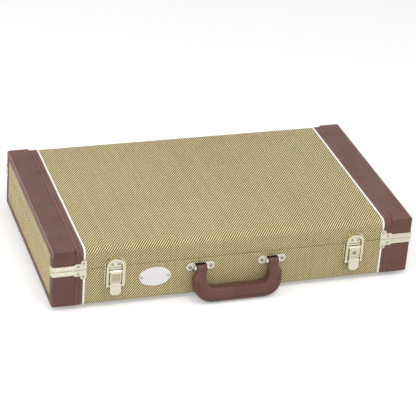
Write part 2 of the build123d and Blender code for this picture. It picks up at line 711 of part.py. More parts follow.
def latch_lever(latch_x, with_lock):
    """Lever: a knuckle on the pin, a framed panel with side flanges, and a lifted tongue."""
    tip_z = lever_pivot_z - lever_length
    tongue_z = lever_pivot_z - lever_panel_length
    outer_y = front_y - lever_face
    inner_y = outer_y + lever_plate_thickness
    tip_y = outer_y - lever_tongue_lift
    flare_z = tip_z + lever_tongue_width * lever_tongue_flare_share
    flange_low_z = hasp_pivot_z - hasp_eye_radius
    with BuildPart() as lever:
        with BuildSketch(side_plane(latch_x - lever_width / 2)):
            with BuildLine():
                Polyline((outer_y, lever_pivot_z), (outer_y, tongue_z), (tip_y, tip_z),
                         (tip_y + lever_plate_thickness, tip_z), (inner_y, tongue_z),
                         (inner_y, lever_pivot_z), close=True)
            make_face()
            with Locations((lever_pivot_y, lever_pivot_z)):
                Circle(lever_knuckle_radius)
        extrude(amount=lever_width)
        with BuildSketch(front_plane(latch_x, 0)) as front_outline:
            with Locations((0, tongue_z - lever_flange_thickness)):
                Rectangle(lever_width, 2 * lever_length, align=(Align.CENTER, Align.MIN))
            with BuildLine():
                Polyline((-lever_tongue_waist / 2, tongue_z), (-lever_tongue_width / 2, flare_z),
                         (-lever_tongue_width / 2, tip_z), (lever_tongue_width / 2, tip_z),
                         (lever_tongue_width / 2, flare_z), (lever_tongue_waist / 2, tongue_z), close=True)
            make_face()
            tip_corners = front_outline.vertices().group_by(Axis.Y)[0]
            fillet(tip_corners, lever_tongue_width * lever_tongue_round_share)
        extrude(amount=3 * lever_face, mode=Mode.INTERSECT)
        for start in (-lever_width / 2, lever_width / 2 - lever_flange_thickness):
            with BuildSketch(side_plane(latch_x + start)):
                with Locations((lever_pivot_y, hasp_pivot_z)):
                    Circle(hasp_eye_radius)
                with BuildLine():
                    Polyline((lever_pivot_y + hasp_eye_radius, hasp_pivot_z),
                             (lever_pivot_y + hasp_eye_radius, lever_pivot_z),
                             (inner_y, lever_pivot_z), (inner_y, tongue_z),
                             (inner_y, flange_low_z), (lever_pivot_y, flange_low_z), close=True)
                make_face()
            extrude(amount=lever_flange_thickness)
        with BuildSketch(front_plane(latch_x, lever_face)):
            with Locations((0, tongue_z)):
                Rectangle(lever_width, lever_panel_length, align=(Align.CENTER, Align.MIN))
            with Locations((0, tongue_z + lever_frame_width)):
                Rectangle(lever_width - 2 * lever_frame_width, lever_panel_length - 2 * lever_frame_width,
                          align=(Align.CENTER, Align.MIN), mode=Mode.SUBTRACT)
        extrude(amount=lever_frame_height)
        with Locations((latch_x, outer_y, tongue_z - lever_crease_width / 2)):
            Box(latch_width, 2 * lever_crease_depth, lever_crease_width, mode=Mode.SUBTRACT)
        for pin_z, pin_room in ((lever_pivot_z, running_clearance), (hasp_pivot_z, 0.0)):
            with Locations(Location((latch_x, lever_pivot_y, pin_z), (0, 90, 0))):
                Cylinder(latch_pin_radius + pin_room, latch_width, mode=Mode.SUBTRACT)
        if with_lock:
            with Locations(front_place(latch_x, lever_pivot_z - lock_drop, 0)):
                Cylinder(lock_plug_radius + running_clearance, 3 * lever_face,
                         align=(Align.CENTER, Align.CENTER, Align.MIN), mode=Mode.SUBTRACT)
    return lever


def latch_hasp(latch_x):
    """Hasp: an upside-down U whose two eyes turn on the lever's lower pin."""
    with BuildPart() as hasp:
        with BuildSketch(front_plane(latch_x, lever_pivot_stand_off)):
            with Locations((0, arch_centre_z)):
                Circle(hasp_outer_half)
            with Locations((0, hasp_pivot_z)):
                Rectangle(2 * hasp_outer_half, arch_centre_z - hasp_pivot_z,
                          align=(Align.CENTER, Align.MIN))
            with Locations((0, arch_centre_z)):
                Circle(hasp_inner_half, mode=Mode.SUBTRACT)
                Rectangle(2 * hasp_inner_half, 2 * lever_length, align=(Align.CENTER, Align.MAX),
                          mode=Mode.SUBTRACT)
        extrude(amount=hasp_thickness)
        for start in (-hasp_outer_half, hasp_inner_half):
            with BuildSketch(side_plane(latch_x + start)):
                with Locations((lever_pivot_y, hasp_pivot_z)):
                    Circle(hasp_eye_radius)
            extrude(amount=hasp_leg_width)
        with Locations(Location((latch_x, lever_pivot_y, hasp_pivot_z), (0, 90, 0))):
            Cylinder(latch_pin_radius + running_clearance, 2 * latch_width, mode=Mode.SUBTRACT)
    return hasp


def latch_pins(latches_x, pin_z, half_length):
    """Pins along X with a small head on each end, one for each latch named."""
    with BuildPart() as pin:
        for pin_x in latches_x:
            with Locations(Location((pin_x, lever_pivot_y, pin_z), (0, 90, 0))):
                Cylinder(latch_pin_radius, 2 * half_length)
            for side in (-1, 1):
                head_x = pin_x + side * (half_length + latch_pin_head_height / 2)
                with Locations(Location((head_x, lever_pivot_y, pin_z), (0, 90, 0))):
                    Cylinder(latch_pin_head_radius, latch_pin_head_height)
    return pin


for latch_name, latch_x, with_lock in (("left", latch_centres[0], False), ("right", latch_centres[1], True)):
    keep(latch_base_plate(latch_x), "latch_" + latch_name + "_base_plate")
    keep(latch_catch_plate(latch_x), "latch_" + latch_name + "_catch_plate")
    keep(latch_lever(latch_x, with_lock), "latch_" + latch_name + "_lever")
    keep(latch_hasp(latch_x), "latch_" + latch_name + "_hasp")
    keep(latch_pins([latch_x], hasp_pivot_z, hasp_outer_half), "latch_" + latch_name + "_hasp_pin")

keep(latch_pins(latch_centres, lever_pivot_z, ear_outer_half), "latch_lever_pins")

# The lock plug turns in the right lever's panel and carries a short cam behind it.
lock_x = latch_centres[1]
lock_z = lever_pivot_z - lock_drop
cam_stand_off = lever_face - lever_plate_thickness - running_clearance - lock_cam_thickness
with BuildPart() as latch_lock_plug:
    with Locations(front_place(lock_x, lock_z, cam_stand_off)):
        Cylinder(lock_plug_radius, lever_face + lock_plug_proud - cam_stand_off,
                 align=(Align.CENTER, Align.CENTER, Align.MIN))
        Box(2 * lock_cam_reach, lock_cam_width, lock_cam_thickness,
            align=(Align.CENTER, Align.CENTER, Align.MIN))
    with Locations(front_place(lock_x, lock_z, lever_face + lock_plug_proud)):
        Box(lock_keyway_width, lock_keyway_length, 2 * lock_keyway_depth, mode=Mode.SUBTRACT)
        Cylinder(lock_keyway_width, 2 * lock_keyway_depth, mode=Mode.SUBTRACT)
keep(latch_lock_plug, "latch_lock_plug")

# --- Handle, made hanging straight down from a pivot at its own origin, then swung out ---
handle_half = handle_spacing / 2
grip_inner_drop = handle_drop - grip_height
grip_outer_half = handle_outer_width / 2
grip_inner_half = grip_outer_half - grip_height
outer_bend_z = grip_outer_bend - handle_drop
inner_bend_z = grip_inner_bend - grip_inner_drop
core_path_half = handle_half
core_drop = handle_drop - grip_height / 2
core_bend = (grip_outer_bend + grip_inner_bend) / 2
handle_place = Location((0, front_y - handle_pivot_stand_off, handle_pivot_height), (-handle_tilt, 0, 0))

with BuildPart() as core_form:
    with BuildSketch(Plane.XZ):
        with BuildLine():
            FilletPolyline((-core_path_half, 0), (-core_path_half, -core_drop), (core_path_half, -core_drop),
                           (core_path_half, 0), radius=core_bend)
        trace(line_width=core_thickness)
    extrude(amount=core_width / 2, both=True)
    for side in (-1, 1):
        with Locations(Location((side * core_path_half, 0, 0), (0, 90, 0))):
            Cylinder(core_eye_radius, core_width)
    with Locations(Location((0, 0, 0), (0, 90, 0))):
        Cylinder(handle_pin_radius + running_clearance, 2 * handle_spacing, mode=Mode.SUBTRACT)

with BuildPart() as grip_form:
    with BuildSketch(Plane.XZ):
        with BuildLine() as half_outline:
            Line((0, -handle_drop), (grip_outer_half - grip_outer_bend, -handle_drop))
            RadiusArc((grip_outer_half - grip_outer_bend, -handle_drop), (grip_outer_half, outer_bend_z),
                      -grip_outer_bend)
            Spline((grip_outer_half, outer_bend_z), (handle_half + neck_width / 2, -neck_length),
                   tangents=((0, 1), (0, 1)))
            Line((handle_half + neck_width / 2, -neck_length), (handle_half + neck_width / 2, 0))
            Line((handle_half + neck_width / 2, 0), (handle_half - neck_width / 2, 0))
            Line((handle_half - neck_width / 2, 0), (handle_half - neck_width / 2, -neck_length))
            Spline((handle_half - neck_width / 2, -neck_length), (grip_inner_half, inner_bend_z),
                   tangents=((0, -1), (0, -1)))
            RadiusArc((grip_inner_half, inner_bend_z), (grip_inner_half - grip_inner_bend, -grip_inner_drop),
                      grip_inner_bend)
            Line((grip_inner_half - grip_inner_bend, -grip_inner_drop), (0, -grip_inner_drop))
            mirror(about=Plane.YZ)
        make_face()
    extrude(amount=grip_depth / 2, both=True)
    faces_across = grip_form.faces().filter_by(GeomType.PLANE).filter_by(Axis.Y)
    fillet([edge for face in faces_across for edge in face.edges()
            if edge.bounding_box().min.Z < -neck_length - neck_radius], grip_edge_radius)
    with BuildSketch(Plane.YZ.offset(-handle_outer_width)):
        Circle(neck_radius)
        with BuildLine():
            Polyline((neck_radius, 0), (neck_radius, -neck_length), (leg_depth / 2, -neck_taper_drop),
                     (grip_depth / 2, -core_drop), (grip_depth / 2, -2 * handle_drop),
                     (-grip_depth / 2, -2 * handle_drop), (-grip_depth / 2, -core_drop),
                     (-leg_depth / 2, -neck_taper_drop), (-neck_radius, -neck_length), (-neck_radius, 0),
                     close=True)
        make_face()
    extrude(amount=2 * handle_outer_width, mode=Mode.INTERSECT)
    for side in (-1, 1):
        with Locations(Location((side * handle_half, 0, 0), (0, 90, 0))):
            Cylinder(neck_radius, neck_width)
    with Locations(Location((0, 0, 0), (0, 90, 0))):
        Cylinder(handle_pin_radius + running_clearance, 2 * handle_spacing, mode=Mode.SUBTRACT)
    add(core_form.part, mode=Mode.SUBTRACT)

with BuildPart() as handle_grip:
    with Locations(handle_place):
        add(grip_form.part)
keep(handle_grip, "handle_grip")

with BuildPart() as handle_core:
    with Locations(handle_place):
        add(core_form.part)
keep(handle_core, "handle_core")


def handle_bracket(bracket_x):
    """Bracket: a slotted plate with a window, and two cheeks that carry the handle's pin."""
    pin_y = front_y - handle_pivot_stand_off
    with BuildPart() as bracket:
        with BuildSketch(front_plane(bracket_x, 0)):
            with Locations((0, handle_pivot_height)):
                SlotOverall(bracket_length, bracket_height)
                Rectangle(2 * recess_half_width, bracket_window_height, mode=Mode.SUBTRACT)
        extrude(amount=bracket_thickness)
        for start in (-recess_half_width - bracket_cheek_thickness, recess_half_width):
            with BuildSketch(side_plane(bracket_x + start)):
                with Locations((pin_y, handle_pivot_height)):
                    Circle(bracket_cheek_radius)
                    Rectangle(handle_pivot_stand_off, 2 * bracket_cheek_radius,
                              align=(Align.MIN, Align.CENTER))
            extrude(amount=bracket_cheek_thickness)
        with Locations(Location((bracket_x, pin_y, handle_pivot_height), (0, 90, 0))):
            Cylinder(handle_pin_radius, bracket_length, mode=Mode.SUBTRACT)
        add(base_bores, mode=Mode.SUBTRACT)
    return bracket


keep(handle_bracket(handle_centres[0]), "handle_bracket_left")
keep(handle_bracket(handle_centres[1]), "handle_bracket_right")

with BuildPart() as handle_pins:
    for bracket_x in handle_centres:
        pin_place = Location((bracket_x, front_y - handle_pivot_stand_off, handle_pivot_height), (0, 90, 0))
        with Locations(pin_place):
            Cylinder(handle_pin_radius, 2 * (recess_half_width + bracket_cheek_thickness))
keep(handle_pins, "handle_pins")

# --- Hinges: interleaved knuckles on one pin, three fixed to the base and two to the lid ---
hinge_axis_y = back_y + hinge_barrel_gap + hinge_barrel_radius
knuckle_pitch = hinge_width / hinge_knuckles
leaf_start = hinge_barrel_radius + hinge_knuckle_gap


def hinge_leaf(hinge_x, direction, knuckle_numbers, pin_room, bores):
    """One leaf with its knuckles; direction is 1 for the lid's leaf and -1 for the base's."""
    leaf_root = parting_height + direction * leaf_start
    low, high = sorted((leaf_root, parting_height + direction * hinge_leaf_height))
    reach = sorted((parting_height, leaf_root))
    with BuildPart() as leaf:
        add(span_box((hinge_x - hinge_width / 2, hinge_x + hinge_width / 2),
                     (back_y, back_y + hinge_leaf_thickness), (low, high)))
        for number in knuckle_numbers:
            start = hinge_x - hinge_width / 2 + number * knuckle_pitch + hinge_knuckle_gap / 2
            add(span_box((start, start + knuckle_pitch - hinge_knuckle_gap),
                         (back_y, back_y + hinge_leaf_thickness), reach))
            with BuildSketch(side_plane(start)):
                with Locations((hinge_axis_y, parting_height)):
                    Circle(hinge_barrel_radius)
            extrude(amount=knuckle_pitch - hinge_knuckle_gap)
        with Locations(Location((hinge_x, hinge_axis_y, parting_height), (0, 90, 0))):
            Cylinder(hinge_pin_radius + pin_room, 2 * hinge_width, mode=Mode.SUBTRACT)
        add(bores, mode=Mode.SUBTRACT)
    return leaf.part


base_knuckles = range(0, hinge_knuckles, 2)
lid_knuckles = range(1, hinge_knuckles, 2)

base_leaf_parts = [hinge_leaf(hinge_x, -1, base_knuckles, 0.0, base_bores)
                   for hinge_x in hinge_centres]
lid_leaf_parts = [hinge_leaf(hinge_x, 1, lid_knuckles, running_clearance, lid_bores)
                  for hinge_x in hinge_centres]

with BuildPart() as hinge_base_leaves:
    add(base_leaf_parts)
keep(hinge_base_leaves, "hinge_base_leaves")

with BuildPart() as hinge_lid_leaves:
    add(lid_leaf_parts)
keep(hinge_lid_leaves, "hinge_lid_leaves")

with BuildPart() as hinge_pins:
    for hinge_x in hinge_centres:
        with Locations(Location((hinge_x, hinge_axis_y, parting_height), (0, 90, 0))):
            Cylinder(hinge_pin_radius, hinge_width)
keep(hinge_pins, "hinge_pins")

# --- Badge: a bare oval plate ---
with BuildPart() as badge_plate:
    with BuildSketch(front_plane(badge_x, 0)):
        with Locations((0, badge_height)):
            Ellipse(badge_width / 2, badge_rise / 2)
    extrude(amount=badge_thickness)
    fillet(badge_plate.edges().group_by(Axis.Y)[0], badge_thickness * badge_edge_share)
    add(base_bores, mode=Mode.SUBTRACT)
keep(badge_plate, "badge_plate")

# --- Feet under the four corners of the body ---
foot_places = [(side * (end_x - foot_inset_x), end * (case_depth / 2 - foot_inset_y))
               for side in (-1, 1) for end in (-1, 1)]
with BuildPart() as feet:
    with Locations(*[(x, y, -foot_height / 2) for x, y in foot_places]):
        Cone(foot_draft_radius, foot_radius, foot_height)
    fillet(feet.edges().group_by(Axis.Z)[0], foot_edge_radius)
    with Locations(*[(x, y, -foot_height) for x, y in foot_places]):
        Cylinder(foot_recess_radius, 2 * foot_recess_depth, mode=Mode.SUBTRACT)
keep(feet, "feet")

# --- Lining: an alignment lip on the base, plush walls, and a pad in each half ---
lined_x = inner_end_x - lining_clearance
lined_y = inner_side_y - lining_clearance
lip_foot = parting_height - lip_depth

base_alignment_lip = wall_ring(lined_x, lined_y, lining_thickness, lip_foot, parting_height + lip_rise)
keep(base_alignment_lip, "base_alignment_lip")

base_wall_lining = wall_ring(lined_x, lined_y, lining_thickness, cavity_floor, lip_foot - lining_clearance)
keep(base_wall_lining, "base_wall_lining")

pad_room_x = lined_x - lining_thickness - lining_clearance
pad_room_y = lined_y - lining_thickness - lining_clearance
with BuildPart() as pedal_floor_pad:
    add(span_box((-pad_room_x, pad_room_x), (-pad_room_y, pad_room_y),
                 (cavity_floor, cavity_floor + floor_pad_thickness)))
    fillet(pedal_floor_pad.edges().group_by(Axis.Z)[-1], floor_pad_edge_radius)
keep(pedal_floor_pad, "pedal_floor_pad")

lid_lining_foot = parting_height + lip_rise + lining_clearance
lid_wall_lining = wall_ring(lined_x, lined_y, lining_thickness, lid_lining_foot, cavity_ceiling)
keep(lid_wall_lining, "lid_wall_lining")

with BuildPart() as lid_foam_pad:
    add(span_box((-pad_room_x, pad_room_x), (-pad_room_y, pad_room_y),
                 (cavity_ceiling - lid_pad_thickness, cavity_ceiling)))
    fillet(lid_foam_pad.edges().group_by(Axis.Z)[0], lid_pad_edge_radius)
keep(lid_foam_pad, "lid_foam_pad")


# --- Fasteners, identical ones together ---
def fastener_group(form, places):
    """Copies of one fastener seated at each place."""
    with BuildPart() as group:
        with Locations(*places):
            add(form)
    return group


for group_name, form, places in (("base_rivets", rivet_form.part, base_rivet_places),
                                 ("lid_rivets", rivet_form.part, lid_rivet_places),
                                 ("handle_screws", screw_form.part, handle_screw_places),
                                 ("hinge_base_screws", screw_form.part, hinge_base_screw_places),
                                 ("hinge_lid_screws", screw_form.part, hinge_lid_screw_places)):
    keep(fastener_group(form, places), group_name)
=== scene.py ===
"""Guitar pedal case: covers, trim, hardware, handle and lining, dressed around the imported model.

Sizes are written in millimetres from the middle of the body's underside. place() turns them into metres in
the shared frame, where the floor is at zero and the origin lies under the middle of the whole footprint.
"""

from __future__ import annotations

import logging
import math
from dataclasses import dataclass
from enum import Enum
from typing import Callable, Iterable, Sequence

import bmesh
import bpy
from mathutils import Matrix, Vector


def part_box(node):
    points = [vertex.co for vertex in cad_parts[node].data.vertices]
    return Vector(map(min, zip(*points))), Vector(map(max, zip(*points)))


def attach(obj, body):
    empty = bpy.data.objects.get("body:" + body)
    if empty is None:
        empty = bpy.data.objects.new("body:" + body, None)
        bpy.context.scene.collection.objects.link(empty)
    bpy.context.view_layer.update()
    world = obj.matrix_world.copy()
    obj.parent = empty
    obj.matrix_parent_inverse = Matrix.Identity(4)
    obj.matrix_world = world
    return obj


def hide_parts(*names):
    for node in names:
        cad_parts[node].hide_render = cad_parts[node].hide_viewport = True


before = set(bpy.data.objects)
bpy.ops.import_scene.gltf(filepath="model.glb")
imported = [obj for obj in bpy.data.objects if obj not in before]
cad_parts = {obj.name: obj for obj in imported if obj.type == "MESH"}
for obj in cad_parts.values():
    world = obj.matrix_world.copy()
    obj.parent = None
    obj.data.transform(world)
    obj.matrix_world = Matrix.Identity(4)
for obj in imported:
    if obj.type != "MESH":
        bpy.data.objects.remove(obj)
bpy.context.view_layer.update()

LOG = logging.getLogger("pedal_case")

MM = 0.001
BODY_ORIGIN = Vector((0.0, 10.5, 8.0))  # millimetres from the frame's origin to the body's underside
CLOTH = "cloth"  # name of the attribute that holds distance along a cover, in metres
SAME_POINT = 2e-6  # metres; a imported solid's points that lie closer than this are one

Colour = tuple[float, float, float]
Ring = list[Vector]


def place(x: float, y: float, z: float) -> Vector:
    """Metres in the shared frame for millimetres from the body's underside."""
    return (Vector((x, y, z)) + BODY_ORIGIN) * MM


def toned(colour: Colour, share: float) -> Colour:
    """A colour made lighter or darker."""
    return tuple(min(1.0, part * share) for part in colour)


def full_turn(steps: int) -> list[float]:
    """Angles all the way round."""
    return [math.tau * i / steps for i in range(steps)]


def quarter_turn(steps: int, first: int = 0) -> list[float]:
    """Angles of a quarter turn, from a step of it to its end."""
    return [math.pi / 2 * i / steps for i in range(first, steps + 1)]


# --- Sizes shared by the sub-assemblies ---


@dataclass(frozen=True)
class CaseSizes:
    """Sizes of the closed case in millimetres."""

    half_width: float = 300.0
    half_depth: float = 172.5
    height: float = 100.0
    parting: float = 65.0
    parting_gap: float = 0.6
    lid_edge: float = 11.0
    base_edge: float = 5.0
    end_edge: float = 4.0
    cover: float = 1.0
    piping_x: float = 249.0
    piping_width: float = 3.4
    piping_proud: float = 1.2
    lip: float = 12.0
    fitting_rise: float = 17.0
    handle_half_spacing: float = 60.0
    handle_height: float = 50.5
    badge_x: float = -134.0
    badge_z: float = 39.6


SIZES = CaseSizes()


class Half(Enum):
    """The two halves of the case."""

    BASE = "base"
    LID = "lid"

    @property
    def body(self) -> str:
        """The body that this half rides on."""
        return "root" if self is Half.BASE else "lid"

    @property
    def up(self) -> int:
        """1 where the half's panel is above its rim, and -1 where it is below."""
        return -1 if self is Half.BASE else 1


@dataclass(frozen=True)
class Section:
    """The path of one half's cover, from the front rim round the panel to the back rim."""

    half: Half
    sizes: CaseSizes = SIZES
    rim_round: float = 0.7

    @property
    def rim(self) -> float:
        """Height of the rim."""
        return self.sizes.parting + self.half.up * self.sizes.parting_gap / 2

    @property
    def crest(self) -> float:
        """Height of the panel's outer face."""
        return self.sizes.height if self.half is Half.LID else 0.0

    @property
    def radius(self) -> float:
        """Radius of the long edges."""
        return self.sizes.lid_edge if self.half is Half.LID else self.sizes.base_edge

    @property
    def wall_run(self) -> float:
        """Length of the straight wall, from rim to edge."""
        return abs(self.crest - self.rim) - self.radius

    @property
    def bend_run(self) -> float:
        """Length of one rounded edge."""
        return math.pi / 2 * self.radius

    @property
    def length(self) -> float:
        """Length of the whole path."""
        return 2 * (self.wall_run + self.bend_run) + 2 * (self.sizes.half_depth - self.radius)

    def point(self, along: float, inset: float = 0.0, lift: float = 0.0,
              radius: float | None = None) -> tuple[float, float, float, float]:
        """Where the path is, and which way it faces.

        Args:
            along: Distance from the front rim, on the path with its usual radius.
            inset: How far the path is drawn in, as on the end face.
            lift: How far the point stands off the cover.
            radius: Radius of the long edges here, where it isn't the usual one.

        Returns:
            y, z, and the y and z of the outward direction.
        """
        if along > self.length / 2:
            y, z, face_y, face_z = self.point(self.length - along, inset, lift, radius)
            return -y, z, -face_y, face_z
        up = self.half.up
        here = self.radius if radius is None else radius
        core = max(here, inset)
        bend = core - inset
        mid_y = core - self.sizes.half_depth
        mid_z = self.crest - up * core
        if along <= self.wall_run:
            rise = along * (self.wall_run + self.radius - here) / self.wall_run
            z = self.rim + up * min(rise, abs(mid_z - self.rim))
            return inset - self.sizes.half_depth - lift, z, -1.0, 0.0
        if along < self.wall_run + self.bend_run:
            turn = (along - self.wall_run) / self.radius
            face_y, face_z = -math.cos(turn), up * math.sin(turn)
            return mid_y + (bend + lift) * face_y, mid_z + (bend + lift) * face_z, face_y, face_z
        share = (along - self.wall_run - self.bend_run) / (self.sizes.half_depth - self.radius)
        y = here - self.sizes.half_depth + share * (self.sizes.half_depth - here)
        return max(y, mid_y), self.crest - up * (inset - lift), 0.0, float(up)

    def drawn_length(self, along: float) -> float:
        """Distance along the cloth, in step across the parting line."""
        return self.rim + self.half.up * along

    def at_height(self, z: float, radius: float | None = None) -> float:
        """Distance from the front rim to a height on the front wall."""
        here = self.radius if radius is None else radius
        return abs(z - self.rim) * self.wall_run / (self.wall_run + self.radius - here)

    def turned_in(self, along: float) -> float:
        """How far the cover rounds in at its two rims."""
        near = min(along, self.length - along)
        share = 1 - min(near, self.rim_round) / self.rim_round
        return self.rim_round * (1 - math.sqrt(max(0.0, 1 - share ** 2)))

    def stops(self, pitch: float, bend_steps: int = 8, extra: Iterable[float] = ()) -> list[float]:
        """Distances to build the path at: even on the flats, close on the bends, and at the extra ones."""
        marks = {self.rim_round * share for share in (0.0, 0.08, 0.3, 0.65, 1.0)}
        flat = self.length / 2 - self.wall_run - self.bend_run
        start = 0.0
        for run, steps in ((self.wall_run, max(2, round(self.wall_run / pitch))), (self.bend_run, bend_steps),
                           (flat, max(2, round(flat / pitch)))):
            marks.update(start + run * i / steps for i in range(steps + 1))
            start += run
        marks.update(extra)
        marks.update(self.length - mark for mark in list(marks))
        kept: list[float] = []
        for mark in sorted(marks):
            if not kept or mark - kept[-1] > 0.02:
                kept.append(mark)
        return kept


# --- Wiring for materials ---

Socket = bpy.types.NodeSocket


class Wiring:
    """Places and joins shader nodes in one tree."""

    def __init__(self, tree: bpy.types.NodeTree) -> None:
        """Keeps the tree."""
        self.tree = tree

    def node(self, kind: str, **settings: object) -> bpy.types.Node:
        """Adds a node and sets its properties."""
        made = self.tree.nodes.new("ShaderNode" + kind)
        for name, value in settings.items():
            setattr(made, name, value)
        return made

    def put(self, socket: Socket, value: object) -> None:
        """Joins a socket to another socket, or sets it to a value."""
        if isinstance(value, bpy.types.NodeSocket):
            self.tree.links.new(value, socket)
        elif isinstance(value, tuple) and len(value) == 3 and socket.type == "RGBA":
            socket.default_value = (*value, 1.0)
        else:
            socket.default_value = value

    def math(self, operation: str, *values: object, clamp: bool = False) -> Socket:
        """A Math node of one to three values."""
        made = self.node("Math", operation=operation, use_clamp=clamp)
        for socket, value in zip(made.inputs, values):
            self.put(socket, value)
        return made.outputs[0]

    def times(self, first: object, second: object, clamp: bool = False) -> Socket:
        """The product of two values."""
        return self.math("MULTIPLY", first, second, clamp=clamp)

    def plus(self, first: object, second: object, clamp: bool = False) -> Socket:
        """The sum of two values."""
        return self.math("ADD", first, second, clamp=clamp)

    def mix(self, factor: object, first: object, second: object, blend: str = "MIX") -> Socket:
        """A colour mix."""
        made = self.node("Mix", data_type="RGBA", blend_type=blend)
        self.put(made.inputs[0], factor)
        self.put(made.inputs[6], first)
        self.put(made.inputs[7], second)
        return made.outputs[2]

    def blend(self, factor: object, first: object, second: object) -> Socket:
        """A mix of two values."""
        made = self.node("Mix", data_type="FLOAT")
        self.put(made.inputs[0], factor)
        self.put(made.inputs[2], first)
        self.put(made.inputs[3], second)
        return made.outputs[0]

    def remap(self, value: object, low: float, high: float,
              to_low: float = 0.0, to_high: float = 1.0) -> Socket:
        """A clamped Map Range node."""
        made = self.node("MapRange")
        for socket, given in zip(made.inputs, (value, low, high, to_low, to_high)):
            self.put(socket, given)
        return made.outputs[0]

    def noise(self, vector: object, scale: float, detail: float = 2.0, roughness: float = 0.5) -> Socket:
        """A noise pattern from 0 to 1."""
        made = self.node("TexNoise")
        self.put(made.inputs["Vector"], vector)
        self.put(made.inputs["Scale"], scale)
        self.put(made.inputs["Detail"], detail)
        self.put(made.inputs["Roughness"], roughness)
        return made.outputs[0]

    def stirred(self, vector: object, scale: object, reach: tuple[float, float, float]) -> Socket:
        """A place moved to and fro by noise.

        Args:
            vector: The place.
            scale: Scale of the noise.
            reach: How far it moves each way, in metres.

        Returns:
            The moved place.
        """
        noise = self.node("TexNoise")
        self.put(noise.inputs["Vector"], vector)
        self.put(noise.inputs["Scale"], scale)
        moved = self.node("VectorMath", operation="MULTIPLY_ADD")
        for socket, value in zip(moved.inputs, (noise.outputs["Color"], reach, vector)):
            self.put(socket, value)
        return moved.outputs[0]

    def cells(self, vector: object, scale: object, feature: str = "F1") -> Socket:
        """Distance within a Voronoi pattern."""
        made = self.node("TexVoronoi", feature=feature)
        self.put(made.inputs["Vector"], vector)
        self.put(made.inputs["Scale"], scale)
        return made.outputs["Distance"]

    def bump(self, height: object, depth: float, strength: float = 1.0) -> Socket:
        """A Bump node of a depth in metres."""
        made = self.node("Bump")
        self.put(made.inputs["Height"], height)
        self.put(made.inputs["Distance"], depth)
        self.put(made.inputs["Strength"], strength)
        return made.outputs[0]

    def place(self) -> Socket:
        """The surface's own place in the shared frame, which moves with the piece."""
        return self.node("TexCoord").outputs["Object"]

    def effect(self, effect: Effect, **values: object) -> dict[str, Socket]:
        """Places a shared effect.

        Args:
            effect: Which effect.
            values: Its inputs by name, with _ for a space.

        Returns:
            Its outputs by name.
        """
        made = self.node("Group", node_tree=effect_tree(effect))
        for name, value in values.items():
            self.put(made.inputs[name.replace("_", " ")], value)
        return {socket.name: socket for socket in made.outputs}


class Effect(Enum):
    """Effects that more than one material uses."""

    TWILL = "twill_weave"
    GRAIN = "pressed_grain"
    WEAR = "edge_wear"
    HANDLING = "handling_marks"
    PILE = "plush_pile"
    CREVICE = "crevice_shade"


def effect_tree(effect: Effect) -> bpy.types.NodeTree:
    """Builds a shared effect once.

    Args:
        effect: Which effect.

    Returns:
        Its node group.
    """
    if effect.value in bpy.data.node_groups:
        return bpy.data.node_groups[effect.value]
    inputs, outputs, draw = EFFECTS[effect]
    tree = bpy.data.node_groups.new(effect.value, "ShaderNodeTree")
    for name, kind, default in inputs:
        socket = tree.interface.new_socket(name=name, in_out="INPUT", socket_type="NodeSocket" + kind)
        if default is not None:
            socket.default_value = default
    for name in outputs:
        tree.interface.new_socket(name=name, in_out="OUTPUT", socket_type="NodeSocketFloat")
    entry, leave = tree.nodes.new("NodeGroupInput"), tree.nodes.new("NodeGroupOutput")
    wiring = Wiring(tree)
    for name, value in draw(wiring, {socket.name: socket for socket in entry.outputs if socket.name}).items():
        wiring.put(leave.inputs[name], value)
    return tree


def draw_twill(w: Wiring, given: dict[str, Socket]) -> dict[str, Socket]:
    """Two over, two under: light warp along the cover, dark weft across it.

    Args:
        w: The group's wiring.
        given: The group's inputs.

    Returns:
        A mask of the warp, the yarns' height, and a tone for each yarn.
    """
    split = w.node("SeparateXYZ")
    w.put(split.inputs[0], w.stirred(given["Cloth"], 60.0, (0.0007, 0.0007, 0.0)))
    end = w.math("DIVIDE", split.outputs[0], given["End pitch"])
    pick = w.math("DIVIDE", split.outputs[1], given["Pick pitch"])
    end_number, pick_number = w.math("FLOOR", end), w.math("FLOOR", pick)
    step = w.math("FLOORED_MODULO", w.math("SUBTRACT", end_number, pick_number), 4.0)
    warp = w.math("LESS_THAN", step, 1.5)
    across = w.math("SINE", w.times(w.math("FRACT", end), math.pi))
    upward = w.math("SINE", w.times(w.math("FRACT", pick), math.pi))
    warp_height = w.times(w.math("POWER", across, 0.6), w.math("MULTIPLY_ADD", upward, 0.25, 0.75))
    weft_height = w.times(w.math("POWER", upward, 0.6), w.math("MULTIPLY_ADD", across, 0.25, 0.6))
    number = w.blend(warp, w.plus(pick_number, 1000.0), end_number)
    chance = w.node("TexWhiteNoise", noise_dimensions="1D")
    w.put(chance.inputs["W"], number)
    fluff = w.noise(given["Cloth"], 1400.0, 3.0, 0.7)
    tone = w.plus(w.times(chance.outputs["Value"], 0.6), w.times(fluff, 0.4))
    return {"Warp": warp, "Height": w.blend(warp, weft_height, warp_height), "Tone": tone}


def draw_grain(w: Wiring, given: dict[str, Socket]) -> dict[str, Socket]:
    """Small rounded cells between fine creases, as pressed into leatherette.

    Args:
        w: The group's wiring.
        given: The group's inputs.

    Returns:
        The height, and a mask of the creases.
    """
    swayed = w.stirred(given["Place"], w.times(given["Scale"], 0.35), (0.0012, 0.0012, 0.0012))
    edge = w.cells(swayed, given["Scale"], "DISTANCE_TO_EDGE")
    crease = w.remap(edge, 0.0, 0.12, 1.0, 0.0)
    fine = w.noise(given["Place"], 2600.0, 3.0, 0.6)
    pebble = w.remap(edge, 0.0, 0.35)
    height = w.plus(w.times(pebble, 0.75), w.times(fine, 0.25))
    return {"Height": height, "Crease": crease}


